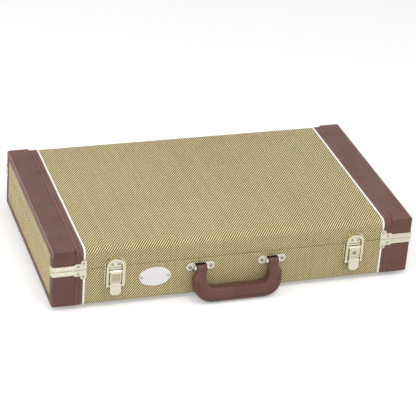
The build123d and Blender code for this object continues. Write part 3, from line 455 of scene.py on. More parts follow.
def draw_wear_and_hollows(w: Wiring, given: dict[str, Socket]) -> dict[str, Socket]:
    """Convex edges, broken up so that they wear unevenly, and hollows.

    Args:
        w: The group's wiring.
        given: The group's inputs.

    Returns:
        A mask of the worn edges, and one of the hollows, where vinyl gathers dirt and plated metal gets
        painted shade.
    """
    bent = w.node("NewGeometry").outputs["Pointiness"]
    patches = w.remap(w.noise(given["Place"], given["Patch scale"], 4.0, 0.6), 0.35, 0.7)
    worn = w.times(w.remap(bent, 0.51, 0.58), patches, clamp=True)
    hollow = w.remap(bent, 0.49, 0.42)
    return {"Worn": worn, "Hollow": hollow}


def draw_handling(w: Wiring, given: dict[str, Socket]) -> dict[str, Socket]:
    """Broad soft smudges and short fine scratches.

    Args:
        w: The group's wiring.
        given: The group's inputs.

    Returns:
        A mask of smudges, and one of scratches.
    """
    smudge = w.remap(w.noise(given["Place"], given["Smudge scale"], 4.0, 0.55), 0.38, 0.66)
    turned = w.node("Mapping")
    w.put(turned.inputs["Vector"], given["Place"])
    turned.inputs["Rotation"].default_value = (0.35, 0.6, 0.4)
    turned.inputs["Scale"].default_value = (420.0, 9000.0, 2400.0)
    scratch = w.remap(w.noise(turned.outputs[0], 1.0, 2.0, 0.5), 0.62, 0.72)
    return {"Smudge": smudge, "Scratch": scratch}


def draw_pile(w: Wiring, given: dict[str, Socket]) -> dict[str, Socket]:
    """Short pile that lies in soft patches.

    Args:
        w: The group's wiring.
        given: The group's inputs.

    Returns:
        The pile's height, and a mask of where it is brushed light.
    """
    tuft = w.cells(given["Place"], 1500.0)
    fibre = w.noise(given["Place"], 3500.0, 2.0, 0.7)
    brushed = w.remap(w.noise(given["Place"], 28.0, 3.0, 0.6), 0.28, 0.76)
    height = w.plus(w.times(tuft, -0.7), w.times(fibre, 0.6))
    return {"Height": height, "Brushed": brushed}


def draw_crevice(w: Wiring, given: dict[str, Socket]) -> dict[str, Socket]:
    """Where other surfaces stand close, as a mask for painted shade in crevices.

    Args:
        w: The group's wiring.
        given: The group's inputs.

    Returns:
        A mask of the crevices.
    """
    near = w.node("AmbientOcclusion", samples=8)
    w.put(near.inputs["Distance"], given["Reach"])
    return {"Crevice": w.remap(near.outputs["AO"], 0.42, 0.86, 1.0, 0.0)}


PLACE = ("Place", "Vector", None)
EFFECTS: dict[Effect, tuple[tuple[tuple[str, str, object], ...], tuple[str, ...], Callable]] = {
    Effect.TWILL: ((("Cloth", "Vector", None), ("End pitch", "Float", 0.00106),
                    ("Pick pitch", "Float", 0.00138)), ("Warp", "Height", "Tone"), draw_twill),
    Effect.GRAIN: ((PLACE, ("Scale", "Float", 900.0)), ("Height", "Crease"), draw_grain),
    Effect.WEAR: ((PLACE, ("Patch scale", "Float", 90.0)), ("Worn", "Hollow"), draw_wear_and_hollows),
    Effect.HANDLING: ((PLACE, ("Smudge scale", "Float", 60.0)), ("Smudge", "Scratch"), draw_handling),
    Effect.PILE: ((PLACE,), ("Height", "Brushed"), draw_pile),
    Effect.CREVICE: ((("Reach", "Float", 0.003),), ("Crevice",), draw_crevice),
}


# --- Finishes ---


@dataclass(frozen=True)
class Finish:
    """What every finish has: a name, and a material built once."""

    name: str

    def material(self) -> bpy.types.Material:
        """The finish's material, named apart from the plain ones that come with the frame."""
        title = f"{self.name}_finish"
        if title in bpy.data.materials:
            return bpy.data.materials[title]
        made = bpy.data.materials.new(title)
        made.use_nodes = True
        wiring = Wiring(made.node_tree)
        shader = made.node_tree.nodes["Principled BSDF"]
        for socket, value in self.draw(wiring).items():
            wiring.put(shader.inputs[socket], value)
        return made

    def draw(self, w: Wiring) -> dict[str, object]:
        """What goes into the shader's sockets."""
        raise NotImplementedError


@dataclass(frozen=True)
class Tweed(Finish):
    """Lacquered tweed: cream warp, dark brown weft."""

    warp: Colour = (0.88, 0.73, 0.395)
    weft: Colour = (0.018, 0.010, 0.004)

    def draw(self, w: Wiring) -> dict[str, object]:
        """What goes into the shader's sockets."""
        cloth = w.node("Attribute", attribute_name=CLOTH).outputs["Vector"]
        weave = w.effect(Effect.TWILL, Cloth=cloth)
        aged = w.noise(w.place(), 7.0, 3.0, 0.55)
        marks = w.effect(Effect.HANDLING, Place=w.place(), Smudge_scale=12.0)
        light = w.mix(weave["Tone"], toned(self.warp, 0.86), toned(self.warp, 1.1))
        dark = w.mix(weave["Tone"], toned(self.weft, 0.7), toned(self.weft, 1.5))
        yarn = w.mix(weave["Warp"], dark, light)
        warm = w.mix(w.remap(aged, 0.35, 0.65, 0.0, 0.14), yarn, (0.72, 0.60, 0.36), "MULTIPLY")
        colour = w.mix(w.times(marks["Smudge"], 0.04), warm, (0.30, 0.22, 0.12))
        rough = w.remap(weave["Height"], 0.2, 1.0, 0.72, 0.44)
        return {"Base Color": colour, "Roughness": rough, "Specular IOR Level": 0.2,
                "Normal": w.bump(weave["Height"], 0.0002, 0.6)}


@dataclass(frozen=True)
class Leatherette(Finish):
    """Brown grained leatherette with a satin surface."""

    colour: Colour = (0.140, 0.066, 0.052)
    raised: Colour = (0.18, 0.095, 0.076)
    grain_scale: float = 950.0
    grain_depth: float = 0.00009
    low_rough: float = 0.34
    high_rough: float = 0.56

    def draw(self, w: Wiring) -> dict[str, object]:
        """What goes into the shader's sockets."""
        here = w.place()
        grain = w.effect(Effect.GRAIN, Place=here, Scale=self.grain_scale)
        wear = w.effect(Effect.WEAR, Place=here)
        marks = w.effect(Effect.HANDLING, Place=here, Smudge_scale=26.0)
        mottled = w.mix(w.remap(w.noise(here, 45.0, 3.0), 0.3, 0.7), self.colour, toned(self.colour, 1.22))
        creased = w.mix(w.times(grain["Crease"], 0.45), mottled, toned(self.colour, 0.5))
        worn = w.mix(w.times(wear["Worn"], 0.55), creased, self.raised)
        # Painted shade: the colour darkens where other surfaces stand close.
        crevice = w.effect(Effect.CREVICE, Reach=0.0035)["Crevice"]
        shaded = w.mix(w.times(crevice, 0.75), worn, toned(self.colour, 0.28))
        rough = w.blend(marks["Smudge"], self.low_rough, self.high_rough)
        return {"Base Color": shaded, "Roughness": rough, "Specular IOR Level": 0.24,
                "Normal": w.bump(grain["Height"], self.grain_depth, 0.4)}


@dataclass(frozen=True)
class Vinyl(Finish):
    """Smooth vinyl, such as the piping and the bare badge."""

    colour: Colour = (0.93, 0.925, 0.91)
    soiled: Colour = (0.66, 0.62, 0.56)
    rough: float = 0.38
    ripple: float = 0.00003

    def draw(self, w: Wiring) -> dict[str, object]:
        """What goes into the shader's sockets."""
        here = w.place()
        wear = w.effect(Effect.WEAR, Place=here, Patch_scale=60.0)
        marks = w.effect(Effect.HANDLING, Place=here, Smudge_scale=40.0)
        dirt = w.plus(w.times(wear["Hollow"], 0.35), w.times(marks["Smudge"], 0.07), clamp=True)
        rough = w.blend(marks["Smudge"], self.rough, self.rough + 0.16)
        return {"Base Color": w.mix(dirt, self.colour, self.soiled), "Roughness": rough,
                "Normal": w.bump(w.noise(here, 700.0, 3.0), self.ripple)}


@dataclass(frozen=True)
class Plated(Finish):
    """Plated metal with smudges, hairline scratches, and painted shade in its hollows and crevices."""

    colour: Colour = (0.86, 0.80, 0.62)
    # Colour of the painted shade in hollows and crevices.
    hollow: Colour = (0.42, 0.29, 0.10)
    low_rough: float = 0.18
    high_rough: float = 0.34
    reach: float = 0.0022

    def draw(self, w: Wiring) -> dict[str, object]:
        """What goes into the shader's sockets."""
        here = w.place()
        wear = w.effect(Effect.WEAR, Place=here, Patch_scale=200.0)
        marks = w.effect(Effect.HANDLING, Place=here, Smudge_scale=110.0)
        smudged = w.mix(w.times(marks["Smudge"], 0.35), self.colour, toned(self.colour, 0.88))
        # Painted shade: hollows and crevices are darkened toward the hollow colour.
        crevice = w.effect(Effect.CREVICE, Reach=self.reach)["Crevice"]
        painted_hollow_shade = w.math("MAXIMUM", w.times(wear["Hollow"], 0.6), w.times(crevice, 0.9))
        hollow_shaded_colour = w.mix(painted_hollow_shade, smudged, self.hollow)
        rough = w.plus(w.blend(marks["Smudge"], self.low_rough, self.high_rough),
                       w.times(marks["Scratch"], 0.12), clamp=True)
        return {"Base Color": hollow_shaded_colour, "Metallic": 1.0, "Roughness": rough,
                "Normal": w.bump(marks["Scratch"], 0.000012, 0.5)}


@dataclass(frozen=True)
class Thread(Finish):
    """Twisted sewing thread."""

    colour: Colour = (0.36, 0.17, 0.09)

    def draw(self, w: Wiring) -> dict[str, object]:
        """What goes into the shader's sockets."""
        twist = w.node("TexWave", wave_type="BANDS", bands_direction="DIAGONAL")
        w.put(twist.inputs["Vector"], w.place())
        w.put(twist.inputs["Scale"], 900.0)
        w.put(twist.inputs["Distortion"], 1.5)
        colour = w.mix(twist.outputs["Fac"], toned(self.colour, 0.6), toned(self.colour, 1.25))
        return {"Base Color": colour, "Roughness": w.remap(twist.outputs["Fac"], 0.0, 1.0, 0.85, 0.6),
                "Normal": w.bump(twist.outputs["Fac"], 0.00006)}


@dataclass(frozen=True)
class Plush(Finish):
    """Dark plush with a soft sheen."""

    colour: Colour = (0.052, 0.030, 0.024)
    brushed: Colour = (0.105, 0.066, 0.052)

    def draw(self, w: Wiring) -> dict[str, object]:
        """What goes into the shader's sockets."""
        pile = w.effect(Effect.PILE, Place=w.place())
        colour = w.mix(pile["Brushed"], self.colour, self.brushed)
        return {"Base Color": colour, "Roughness": w.remap(pile["Brushed"], 0.0, 1.0, 0.95, 0.82),
                "Sheen Weight": 0.35, "Sheen Roughness": 0.4, "Normal": w.bump(pile["Height"], 0.0004, 0.7)}


@dataclass(frozen=True)
class Timber(Finish):
    """Sanded plywood with its plies along the cut edges."""

    light: Colour = (0.66, 0.49, 0.31)
    dark: Colour = (0.42, 0.27, 0.15)

    def draw(self, w: Wiring) -> dict[str, object]:
        """What goes into the shader's sockets."""
        stretched = w.node("Mapping")
        w.put(stretched.inputs["Vector"], w.place())
        stretched.inputs["Scale"].default_value = (9.0, 160.0, 520.0)
        figure = w.noise(stretched.outputs[0], 1.0, 5.0, 0.6)
        rough = w.remap(figure, 0.3, 0.7, 0.55, 0.75)
        return {"Base Color": w.mix(w.remap(figure, 0.35, 0.65), self.light, self.dark), "Roughness": rough,
                "Normal": w.bump(figure, 0.00015, 0.6)}


@dataclass(frozen=True)
class Rubber(Finish):
    """Matt black rubber."""

    colour: Colour = (0.018, 0.018, 0.019)

    def draw(self, w: Wiring) -> dict[str, object]:
        """What goes into the shader's sockets."""
        here = w.place()
        dust = w.remap(w.noise(here, 120.0, 4.0), 0.45, 0.75, 0.0, 0.5)
        return {"Base Color": w.mix(dust, self.colour, (0.07, 0.066, 0.06)),
                "Roughness": w.remap(dust, 0.0, 0.5, 0.62, 0.85),
                "Normal": w.bump(w.noise(here, 1800.0), 0.00008)}


TWEED = Tweed("lacquered_tweed")
LEATHERETTE = Leatherette("brown_leatherette")
GRIP = Leatherette("moulded_grip", (0.135, 0.060, 0.047), (0.21, 0.12, 0.095), 1300.0, 0.00004, 0.17, 0.30)
PIPING = Vinyl("white_piping")
ENAMEL = Vinyl("white_enamel", (0.82, 0.805, 0.80), (0.56, 0.52, 0.49), 0.12, 0.000008)
PALE_BRASS = Plated("pale_brass", (0.84, 0.79, 0.63), (0.36, 0.25, 0.08))
# Painted shade: a deeper brass for the latch plates' recessed faces between rim and boss.
RECESS_SHADE_BRASS = Plated("deeper_brass", (0.80, 0.60, 0.22), (0.34, 0.20, 0.04))
RIVET_BRASS = Plated("rivet_brass", (0.50, 0.45, 0.31), (0.20, 0.15, 0.07), 0.24, 0.4)
NICKEL = Plated("pale_nickel", (0.80, 0.76, 0.66), (0.30, 0.25, 0.18))
SCREW = Plated("screw_nickel", (0.56, 0.52, 0.44), (0.14, 0.11, 0.08), 0.2, 0.36)
STEEL = Plated("plain_steel", (0.50, 0.50, 0.51), (0.16, 0.14, 0.12), 0.3, 0.5)
HEM_THREAD = Thread("hem_thread", (0.46, 0.19, 0.09))
EDGE_THREAD = Thread("edge_thread", (0.60, 0.46, 0.42))
GRIP_THREAD = Thread("grip_thread", (0.075, 0.04, 0.032))
PLUSH = Plush("dark_plush")
TIMBER = Timber("sanded_plywood")
RUBBER = Rubber("matt_rubber")
# Painted shade: black for the tray in each handle opening and for the lock plug's keyway, where there is only
# shade.
SHADE_BLACK = Rubber("blackened_tray", (0.010, 0.009, 0.008))


# --- Making pieces ---


def added(name: str, data: bpy.types.ID) -> bpy.types.Object:
    """A new object in the scene."""
    made = bpy.data.objects.new(name, data)
    bpy.context.scene.collection.objects.link(made)
    return made


def kept(name: str, mesh: bmesh.types.BMesh) -> bpy.types.Mesh:
    """A built mesh's lasting data. The built mesh is freed."""
    data = bpy.data.meshes.new(name)
    mesh.to_mesh(data)
    mesh.free()
    return data


def settle(name: str, mesh: bmesh.types.BMesh, finish: Finish, body: str,
           stands_for: Sequence[str] = (), smooth: bool = True) -> bpy.types.Object:
    """Turns a built mesh into a piece of the object.

    Args:
        name: The piece's name.
        mesh: The built mesh, which is freed.
        finish: Its finish.
        body: The body it rides on.
        stands_for: The solids it replaces.
        smooth: Whether its faces are shaded smooth.

    Returns:
        The piece.
    """
    for face in mesh.faces:
        face.smooth = smooth
    piece = added(name, kept(name, mesh))
    piece.data.materials.append(finish.material())
    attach(piece, body)
    if stands_for:
        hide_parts(*stands_for)
    LOG.info("%s: %d faces on %s", name, len(piece.data.polygons), body)
    return piece


def soften(piece: bpy.types.Object, width: float, segments: int = 2, angle: float = 32.0) -> None:
    """Rounds a piece's sharp edges by a width in millimetres."""
    bevel = piece.modifiers.new("rounded_edges", "BEVEL")
    bevel.width = width * MM
    bevel.segments = segments
    bevel.limit_method = "ANGLE"
    bevel.angle_limit = math.radians(angle)
    bevel.use_clamp_overlap = True
    piece.modifiers.new("even_shading", "WEIGHTED_NORMAL").keep_sharp = True


def thicken(piece: bpy.types.Object, thickness: float, offset: float = -1.0) -> None:
    """Gives a sheet a thickness in millimetres, inward by default."""
    solid = piece.modifiers.new("thickness", "SOLIDIFY")
    solid.thickness = thickness * MM
    solid.offset = offset


def web(mesh: bmesh.types.BMesh, rings: Sequence[Ring], closed: bool = False,
        cloth: Sequence[Sequence[tuple[float, float]]] | None = None,
        skip: Callable[[int, int], bool] | None = None) -> list[list[bmesh.types.BMVert]]:
    """Joins rings of points with four-sided faces.

    Args:
        mesh: The mesh to build in.
        rings: The rings, each with as many points.
        closed: Whether each ring runs round to its start.
        cloth: Distance across and along the cloth for each point, in millimetres.
        skip: Tells which faces are left out, by ring and point.

    Returns:
        The rings' vertices.
    """
    layer = mesh.verts.layers.float_vector.get(CLOTH) or mesh.verts.layers.float_vector.new(CLOTH)
    made = [[mesh.verts.new(point) for point in ring] for ring in rings]
    if cloth is not None:
        for row, marks in zip(made, cloth):
            for vertex, (across, along) in zip(row, marks):
                vertex[layer] = Vector((across * MM, along * MM, 0.0))
    count = len(rings[0])
    for i in range(len(made) - 1):
        for j in range(count if closed else count - 1):
            if skip is None or not skip(i, j):
                k = (j + 1) % count
                mesh.faces.new((made[i][j], made[i][k], made[i + 1][k], made[i + 1][j]))
    return made


def close_ends(mesh: bmesh.types.BMesh, rings: Sequence[Sequence[bmesh.types.BMVert]]) -> None:
    """Closes the first and the last of the joined rings."""
    mesh.faces.new(rings[0][::-1])
    mesh.faces.new(rings[-1])


def face_outward(mesh: bmesh.types.BMesh) -> None:
    """Turns all the faces of a closed mesh outward."""
    bmesh.ops.recalc_face_normals(mesh, faces=mesh.faces)


def turn_faces(mesh: bmesh.types.BMesh, outward: Callable[[Vector], Vector]) -> None:
    """Turns the faces of an open cover.

    Args:
        mesh: The mesh.
        outward: Gives the outward direction at a face's middle.
    """
    for face in mesh.faces:
        face.normal_update()
        if face.normal.dot(outward(face.calc_center_median())) < 0:
            face.normal_flip()


def refined(node: str, finish: Finish, body: str, round_off: float, suffix: str = "rounded",
            second: Finish | None = None,
            chosen: Callable[[Vector], bool] | None = None) -> bpy.types.Object:
    """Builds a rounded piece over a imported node's solids, which it stands for.

    Args:
        node: The node.
        finish: Its finish.
        body: The body it rides on.
        round_off: Radius of its edges in millimetres.
        suffix: What the piece's name adds to the node's.
        second: A second finish.
        chosen: Tells by a face's middle, in millimetres, whether it has the second finish.

    Returns:
        The piece.
    """
    mesh = bmesh.new()
    mesh.from_mesh(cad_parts[node].data)
    bmesh.ops.remove_doubles(mesh, verts=mesh.verts, dist=SAME_POINT)
    bmesh.ops.dissolve_limit(mesh, angle_limit=math.radians(0.6), verts=mesh.verts, edges=mesh.edges)
    if chosen is not None:
        for face in mesh.faces:
            face.material_index = int(chosen(face.calc_center_median() / MM - BODY_ORIGIN))
    piece = settle(f"{node}_{suffix}", mesh, finish, body, [node])
    if second is not None:
        piece.data.materials.append(second.material())
    soften(piece, round_off)
    return piece


def carve(piece: bpy.types.Object, cutters: bmesh.types.BMesh) -> None:
    """Cuts shapes out of a piece and keeps the result as its mesh.

    Args:
        piece: The piece.
        cutters: Closed shapes in the shared frame, which are freed.
    """
    tool = added("cutters", kept("cutters", cutters))
    cut = piece.modifiers.new("cut", "BOOLEAN")
    cut.operation = "DIFFERENCE"
    cut.solver = "EXACT"
    cut.object = tool
    bpy.context.view_layer.update()
    scene_now = bpy.context.evaluated_depsgraph_get()
    made = bpy.data.meshes.new_from_object(piece.evaluated_get(scene_now))
    piece.modifiers.clear()
    piece.data = made
    bpy.data.objects.remove(tool)


def slot_cutter(mesh: bmesh.types.BMesh, middle: Vector, facing: int, length: float, width: float,
                depth: float, turn: float) -> None:
    """Adds the cutter of a screw's slot.

    Args:
        mesh: The mesh to build in.
        middle: The head's crown, in metres.
        facing: -1 for a head that faces forward, 1 for one that faces back.
        length: The slot's length in millimetres.
        width: Its width.
        depth: Its depth.
        turn: Its angle in degrees.
    """
    along = Vector((math.cos(math.radians(turn)), 0.0, math.sin(math.radians(turn))))
    across = Vector((-along.z, 0.0, along.x))
    above = -2.0
    rings = [[middle + (along * end * length / 2 + across * a * width / 2) * MM
              - Vector((0.0, facing * d * MM, 0.0))
              for a, d in ((-1, depth), (1, depth), (1, above), (-1, above))] for end in (-1, 1)]
    close_ends(mesh, web(mesh, rings, closed=True))
    face_outward(mesh)


# Share of a stitch's length, share of its thickness, and share of its rise.
STITCH_PROFILE = ((0.0, 0.35, -0.7), (0.12, 0.8, 0.1), (0.4, 1.0, 1.0), (0.6, 1.0, 1.0), (0.88, 0.8, 0.1),
                  (1.0, 0.35, -0.7))


def stitches(mesh: bmesh.types.BMesh, path: Sequence[tuple[Vector, Vector]], length: float, gap: float,
             width: float, rise: float) -> None:
    """Lays a row of stitches on a path.

    Args:
        mesh: The mesh to build in.
        path: Points in metres, each with the outward direction there.
        length: Length of a stitch in millimetres.
        gap: Cloth between two stitches.
        width: Thickness of the thread.
        rise: How far the thread's middle stands off the path.
    """
    reach = [0.0]
    for (start, _), (end, _) in zip(path, path[1:]):
        reach.append(reach[-1] + (end - start).length / MM)

    def on_path(distance: float) -> tuple[Vector, Vector]:
        """The point and outward direction at a distance."""
        spot = min(max(distance, 0.0), reach[-1] - 1e-6)
        index = next(i for i in range(1, len(reach)) if reach[i] > spot or i == len(reach) - 1)
        share = (spot - reach[index - 1]) / max(reach[index] - reach[index - 1], 1e-9)
        point = path[index - 1][0].lerp(path[index][0], share)
        return point, path[index - 1][1].lerp(path[index][1], share).normalized()

    count = max(1, int((reach[-1] - length) / (length + gap)) + 1)
    slack = (reach[-1] - count * length - (count - 1) * gap) / 2
    for number in range(count):
        begin = slack + number * (length + gap)
        rings: list[Ring] = []
        for share, scale, lift in STITCH_PROFILE:
            point, out = on_path(begin + share * length)
            ahead, _ = on_path(begin + share * length + 0.3)
            behind, _ = on_path(begin + share * length - 0.3)
            side = (ahead - behind).cross(out).normalized()
            middle = point + out * (rise * lift * MM)
            rings.append([middle + (side * math.cos(a) + out * math.sin(a)) * (width / 2 * scale * MM)
                          for a in full_turn(6)])
        close_ends(mesh, web(mesh, rings, closed=True))


# --- Covers ---


@dataclass
class TweedCovers:
    """Tweed on the front, back, top and ends, folded in over the rims."""

    sizes: CaseSizes = SIZES
    seam_tuck: float = 0.4
    seam_run: float = 1.6
    sheet: float = 0.95
    column_pitch: int = 20
    row_pitch: float = 12.0
    window_half_width: float = 9.0
    window_half_height: float = 5.7
    panel_proud: float = 0.8
    panel_round: float = 6.0
    panel_drop: float = 0.25

    def build(self) -> None:
        """Makes the two wraps and the end panels."""
        for half in Half:
            self.wrap(half)
            self.ends(half)
        self.flat_cover("base_bottom_cover")

    def wrap(self, half: Half) -> None:
        """One half's cloth, from seam to seam.

        Args:
            half: Which half.
        """
        section = Section(half, self.sizes)
        edge = self.sizes.piping_x - self.sizes.piping_width / 2 + 0.1
        holes = half is Half.BASE
        across = {edge - self.seam_run * share for share in (0.0, 0.3, 0.6, 1.0)}
        across |= {float(x) for x in range(0, int(edge - self.seam_run), self.column_pitch)}
        if holes:
            across |= {self.sizes.handle_half_spacing + side * self.window_half_width for side in (-1, 1)}
        columns = sorted(across | {-x for x in across})
        window = tuple(section.at_height(self.sizes.handle_height + side * self.window_half_height)
                       for side in (-1, 1)) if holes else ()
        rows = section.stops(self.row_pitch, 8, window)
        if holes:
            under = section.wall_run + section.bend_run
            rows = [row for row in rows if row <= under + 0.01 or row >= section.length - under - 0.01]
        rings, cloth = [], []
        for x in columns:
            tuck = max(0.0, 1 - (edge - abs(x)) / self.seam_run)
            ring = []
            for row in rows:
                y, z, _, _ = section.point(row, 0.0, -self.seam_tuck * tuck * tuck - section.turned_in(row))
                ring.append(place(x, y, z))
            rings.append(ring)
            cloth.append([(x, section.drawn_length(row)) for row in rows])

        def left_out(i: int, j: int) -> bool:
            """Whether a face is a window's, or spans the underside."""
            if not holes:
                return False
            x, row = (columns[i] + columns[i + 1]) / 2, (rows[j] + rows[j + 1]) / 2
            in_window = (min(window) < row < max(window)
                         and abs(abs(x) - self.sizes.handle_half_spacing) < self.window_half_width)
            return in_window or rows[j + 1] - rows[j] > self.sizes.half_depth

        mesh = bmesh.new()
        web(mesh, rings, cloth=cloth, skip=left_out)
        core = place(0, 0, self.sizes.parting - half.up * 8)
        turn_faces(mesh, lambda middle: middle - core)
        piece = settle(f"{half.value}_tweed_cover", mesh, TWEED, half.body,
                       [f"{half.value}_tweed_wrap"])
        thicken(piece, self.sheet)

    def ends(self, half: Half) -> None:
        """One half's two end panels, slightly pillowed.

        Args:
            half: Which half.
        """
        sizes = self.sizes
        section = Section(half, sizes)
        reach = sizes.half_depth - sizes.lip - 0.1
        low, high = sorted((section.rim, section.crest - half.up * (sizes.lip + 0.1)))
        face = sizes.half_width - sizes.cover + self.panel_proud
        mesh = bmesh.new()
        for side in (-1, 1):
            rings, cloth = [], []
            for i in range(25):
                y = -reach + 2 * reach * i / 24
                ring, marks = [], []
                for j in range(7):
                    z = low + (high - low) * j / 6
                    rim = min(reach - abs(y), high - z if half is Half.LID else z - low, self.panel_round)
                    drop = self.panel_drop * (1 - rim / self.panel_round) ** 2
                    ring.append(place(side * (face - drop), y, z))
                    marks.append((-side * y, z))
                rings.append(ring)
                cloth.append(marks)
            web(mesh, rings, cloth=cloth)
        turn_faces(mesh, lambda middle: Vector((middle.x, 0.0, 0.0)))
        piece = settle(f"{half.value}_end_tweed", mesh, TWEED, half.body,
                       [f"{half.value}_tweed_ends"])
        thicken(piece, self.panel_proud - 0.05)

    def flat_cover(self, node: str) -> None:
        """The underside's cover, laid as one sheet."""
        low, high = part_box(node)
        mesh = bmesh.new()
        rings, cloth = [], []
        for i in range(13):
            x = low.x + (high.x - low.x) * i / 12
            rings.append([Vector((x, low.y + (high.y - low.y) * j / 8, low.z)) for j in range(9)])
            cloth.append([(point.x / MM, -point.y / MM) for point in rings[-1]])
        web(mesh, rings, cloth=cloth)
        turn_faces(mesh, lambda middle: Vector((0.0, 0.0, -1.0)))
        piece = settle("base_underside_tweed", mesh, TWEED, "root", [node])
        thicken(piece, self.sheet)


@dataclass
class EndCaps:
    """Leatherette over both ends of each half, with a sewn hem beside the piping."""

    sizes: CaseSizes = SIZES
    hem_width: float = 12.0
    hem_lift: float = 0.6
    hem_step: float = 0.35
    fold_height: float = 95.9
    fold_lift: float = 0.8
    fold_half: float = 1.1
    base_fold_height: float = 9.0
    base_fold_lift: float = 0.35
    base_fold_half: float = 1.2
    tuck_run: float = 0.9
    gutter_depth: float = 0.25
    gutter_run: float = 1.2
    ease_run: float = 1.5
    crease_height: float = 97.8
    crease_depth: float = 1.3
    crease_half: float = 1.0
    crisp_edge: float = 2.6
    crisp_run: float = 2.2
    hem_rows: tuple[float, float] = (253.2, 260.9)
    sheet: float = 0.95

    def build(self) -> None:
        """Makes the four caps and their stitching."""
        for half in Half:
            for side in (-1, 1):
                self.cap(half, side)
            self.hem_stitching(half)
        self.edge_stitching()

    @property
    def seam(self) -> float:
        """Where the leatherette starts beside the bead."""
        return self.sizes.piping_x + self.sizes.piping_width / 2 + 0.05

    @property
    def hem_end(self) -> float:
        """Where the hem's outer edge is."""
        return self.seam + self.hem_width

    def edge_radius(self, half: Half, x: float) -> float:
        """Radius of the long edge: full at the bead and the hem, crisp beyond it."""
        full = self.sizes.lid_edge if half is Half.LID else self.sizes.base_edge
        share = min(1.0, max(0.0, (x - self.hem_end) / self.crisp_run))
        return full + (min(full, self.crisp_edge) - full) * share * share * (3 - 2 * share)

    def raised(self, half: Half, x: float, along: float) -> float:
        """How far the leatherette stands off the case.

        Args:
            half: Which half.
            x: Distance from the middle of the case.
            along: Distance along the section.

        Returns:
            The lift in millimetres.
        """
        section = Section(half, self.sizes)
        if x < self.seam + self.tuck_run:
            return self.hem_lift - self.tuck_run * (1 - (x - self.seam) / self.tuck_run)
        if x < self.hem_end:
            return self.hem_lift * min(1.0, (self.hem_end - x) / self.hem_step)
        near = min(along, section.length - along)
        beyond = min(1.0, (x - self.hem_end) / self.ease_run)
        gutter = -self.gutter_depth * max(0.0, 1 - (x - self.hem_end) / self.gutter_run)
        if half is Half.LID:
            fold = section.at_height(self.fold_height, self.crisp_edge)
            crease = section.at_height(self.crease_height, self.crisp_edge)
            ridge = self.fold_lift * max(0.0, 1 - abs(near - fold) / self.fold_half)
            dip = self.crease_depth * max(0.0, 1 - abs(near - crease) / self.crease_half)
            return gutter + beyond * (ridge - dip)
        fold = section.at_height(self.base_fold_height)
        return gutter + self.base_fold_lift * max(0.0, 1 - abs(near - fold) / self.base_fold_half)

    def cap(self, half: Half, side: int) -> None:
        """One cap, from the seam over the end's edge to the lip's cut edge.

        Args:
            half: Which half.
            side: -1 for the left end, 1 for the right.
        """
        sizes = self.sizes
        section = Section(half, sizes)
        if half is Half.LID:
            fold = section.at_height(self.fold_height, self.crisp_edge)
            crease = section.at_height(self.crease_height, self.crisp_edge)
            marks = [fold + step for step in (-1.1, -0.6, 0.0, 0.5)]
            marks += [crease + step for step in (-0.45, 0.0, 0.5, 0.9)]
        else:
            fold = section.at_height(self.base_fold_height)
            marks = [fold + step for step in (-1.2, -0.6, 0.0, 0.6, 1.2)]
        rows = section.stops(12.0, 12, marks)
        stations = [(self.seam + step, 0.0) for step in (0.0, 0.3, 0.9, 1.6, 3.5, 5.8, 8.0, 10.0, 11.2)]
        stations += [(self.hem_end + step, 0.0) for step in (-0.36, -0.18, 0.0, 0.3, 0.7, 1.2, 1.7, 2.3, 4.0)]
        flat_end = sizes.half_width - sizes.end_edge
        stations += [(self.hem_end + (flat_end - self.hem_end) * share, 0.0)
                     for share in (0.35, 0.6, 0.85, 1.0)]
        stations += [(flat_end + sizes.end_edge * math.sin(turn), sizes.end_edge * (1 - math.cos(turn)))
                     for turn in quarter_turn(6, 1)]
        stations += [(sizes.half_width - step, inset) for step, inset in
                     ((0.0, 6.0), (0.0, 8.5), (0.0, 11.0), (0.08, 11.5), (0.3, 11.85), (0.7, 12.0))]
        rings = []
        for x, inset in stations:
            fade = max(0.0, 1 - max(0.0, x - flat_end) / sizes.end_edge)
            lift = fade if inset < 1.5 else 0.0
            radius = self.edge_radius(half, x)
            ring = []
            for row in rows:
                rise = self.raised(half, x, row) * lift - section.turned_in(row)
                ring.append(place(side * x, *section.point(row, inset, rise, radius)[:2]))
            rings.append(ring)
        mesh = bmesh.new()
        web(mesh, rings)
        bmesh.ops.remove_doubles(mesh, verts=mesh.verts, dist=1e-6)
        bmesh.ops.dissolve_degenerate(mesh, edges=mesh.edges, dist=1e-6)
        core = place(side * 255, 0, sizes.parting - half.up * 8)
        turn_faces(mesh, lambda middle: middle - core)
        name = "left" if side < 0 else "right"
        piece = settle(f"{half.value}_leatherette_{name}", mesh, LEATHERETTE, half.body,
                       [f"{half.value}_end_cap_{name}"])
        thicken(piece, self.sheet)

    def hem_stitching(self, half: Half) -> None:
        """Two rows of stitches along each hem.

        Args:
            half: Which half.
        """
        section = Section(half, self.sizes)
        mesh = bmesh.new()
        clear = self.sizes.fitting_rise + 1.5
        for side in (-1, 1):
            for x in self.hem_rows:
                path = []
                for row in section.stops(6.0, 10):
                    if clear < row < section.length - clear:
                        y, z, face_y, face_z = section.point(row, 0.0, self.hem_lift)
                        path.append((place(side * x, y, z), Vector((0.0, face_y, face_z))))
                stitches(mesh, path, 3.4, 0.9, 0.9, 0.16)
        settle(f"{half.value}_hem_stitches", mesh, HEM_THREAD, half.body)

    def edge_stitching(self) -> None:
        """Stitches round the lid's two ends, just inside the edge."""
        section = Section(Half.LID, self.sizes)
        mesh = bmesh.new()
        for side in (-1, 1):
            path = []
            for row in section.stops(6.0, 10):
                if 12.0 < row < section.length - 12.0:
                    y, z, face_y, face_z = section.point(row, 1.0, 0.0, self.crisp_edge)
                    path.append((place(side * (self.sizes.half_width - 1.1), y, z),
                                 Vector((side, face_y, face_z)).normalized()))
            stitches(mesh, path, 2.7, 1.9, 1.2, 0.15)
        settle("lid_edge_stitches", mesh, EDGE_THREAD, "lid")


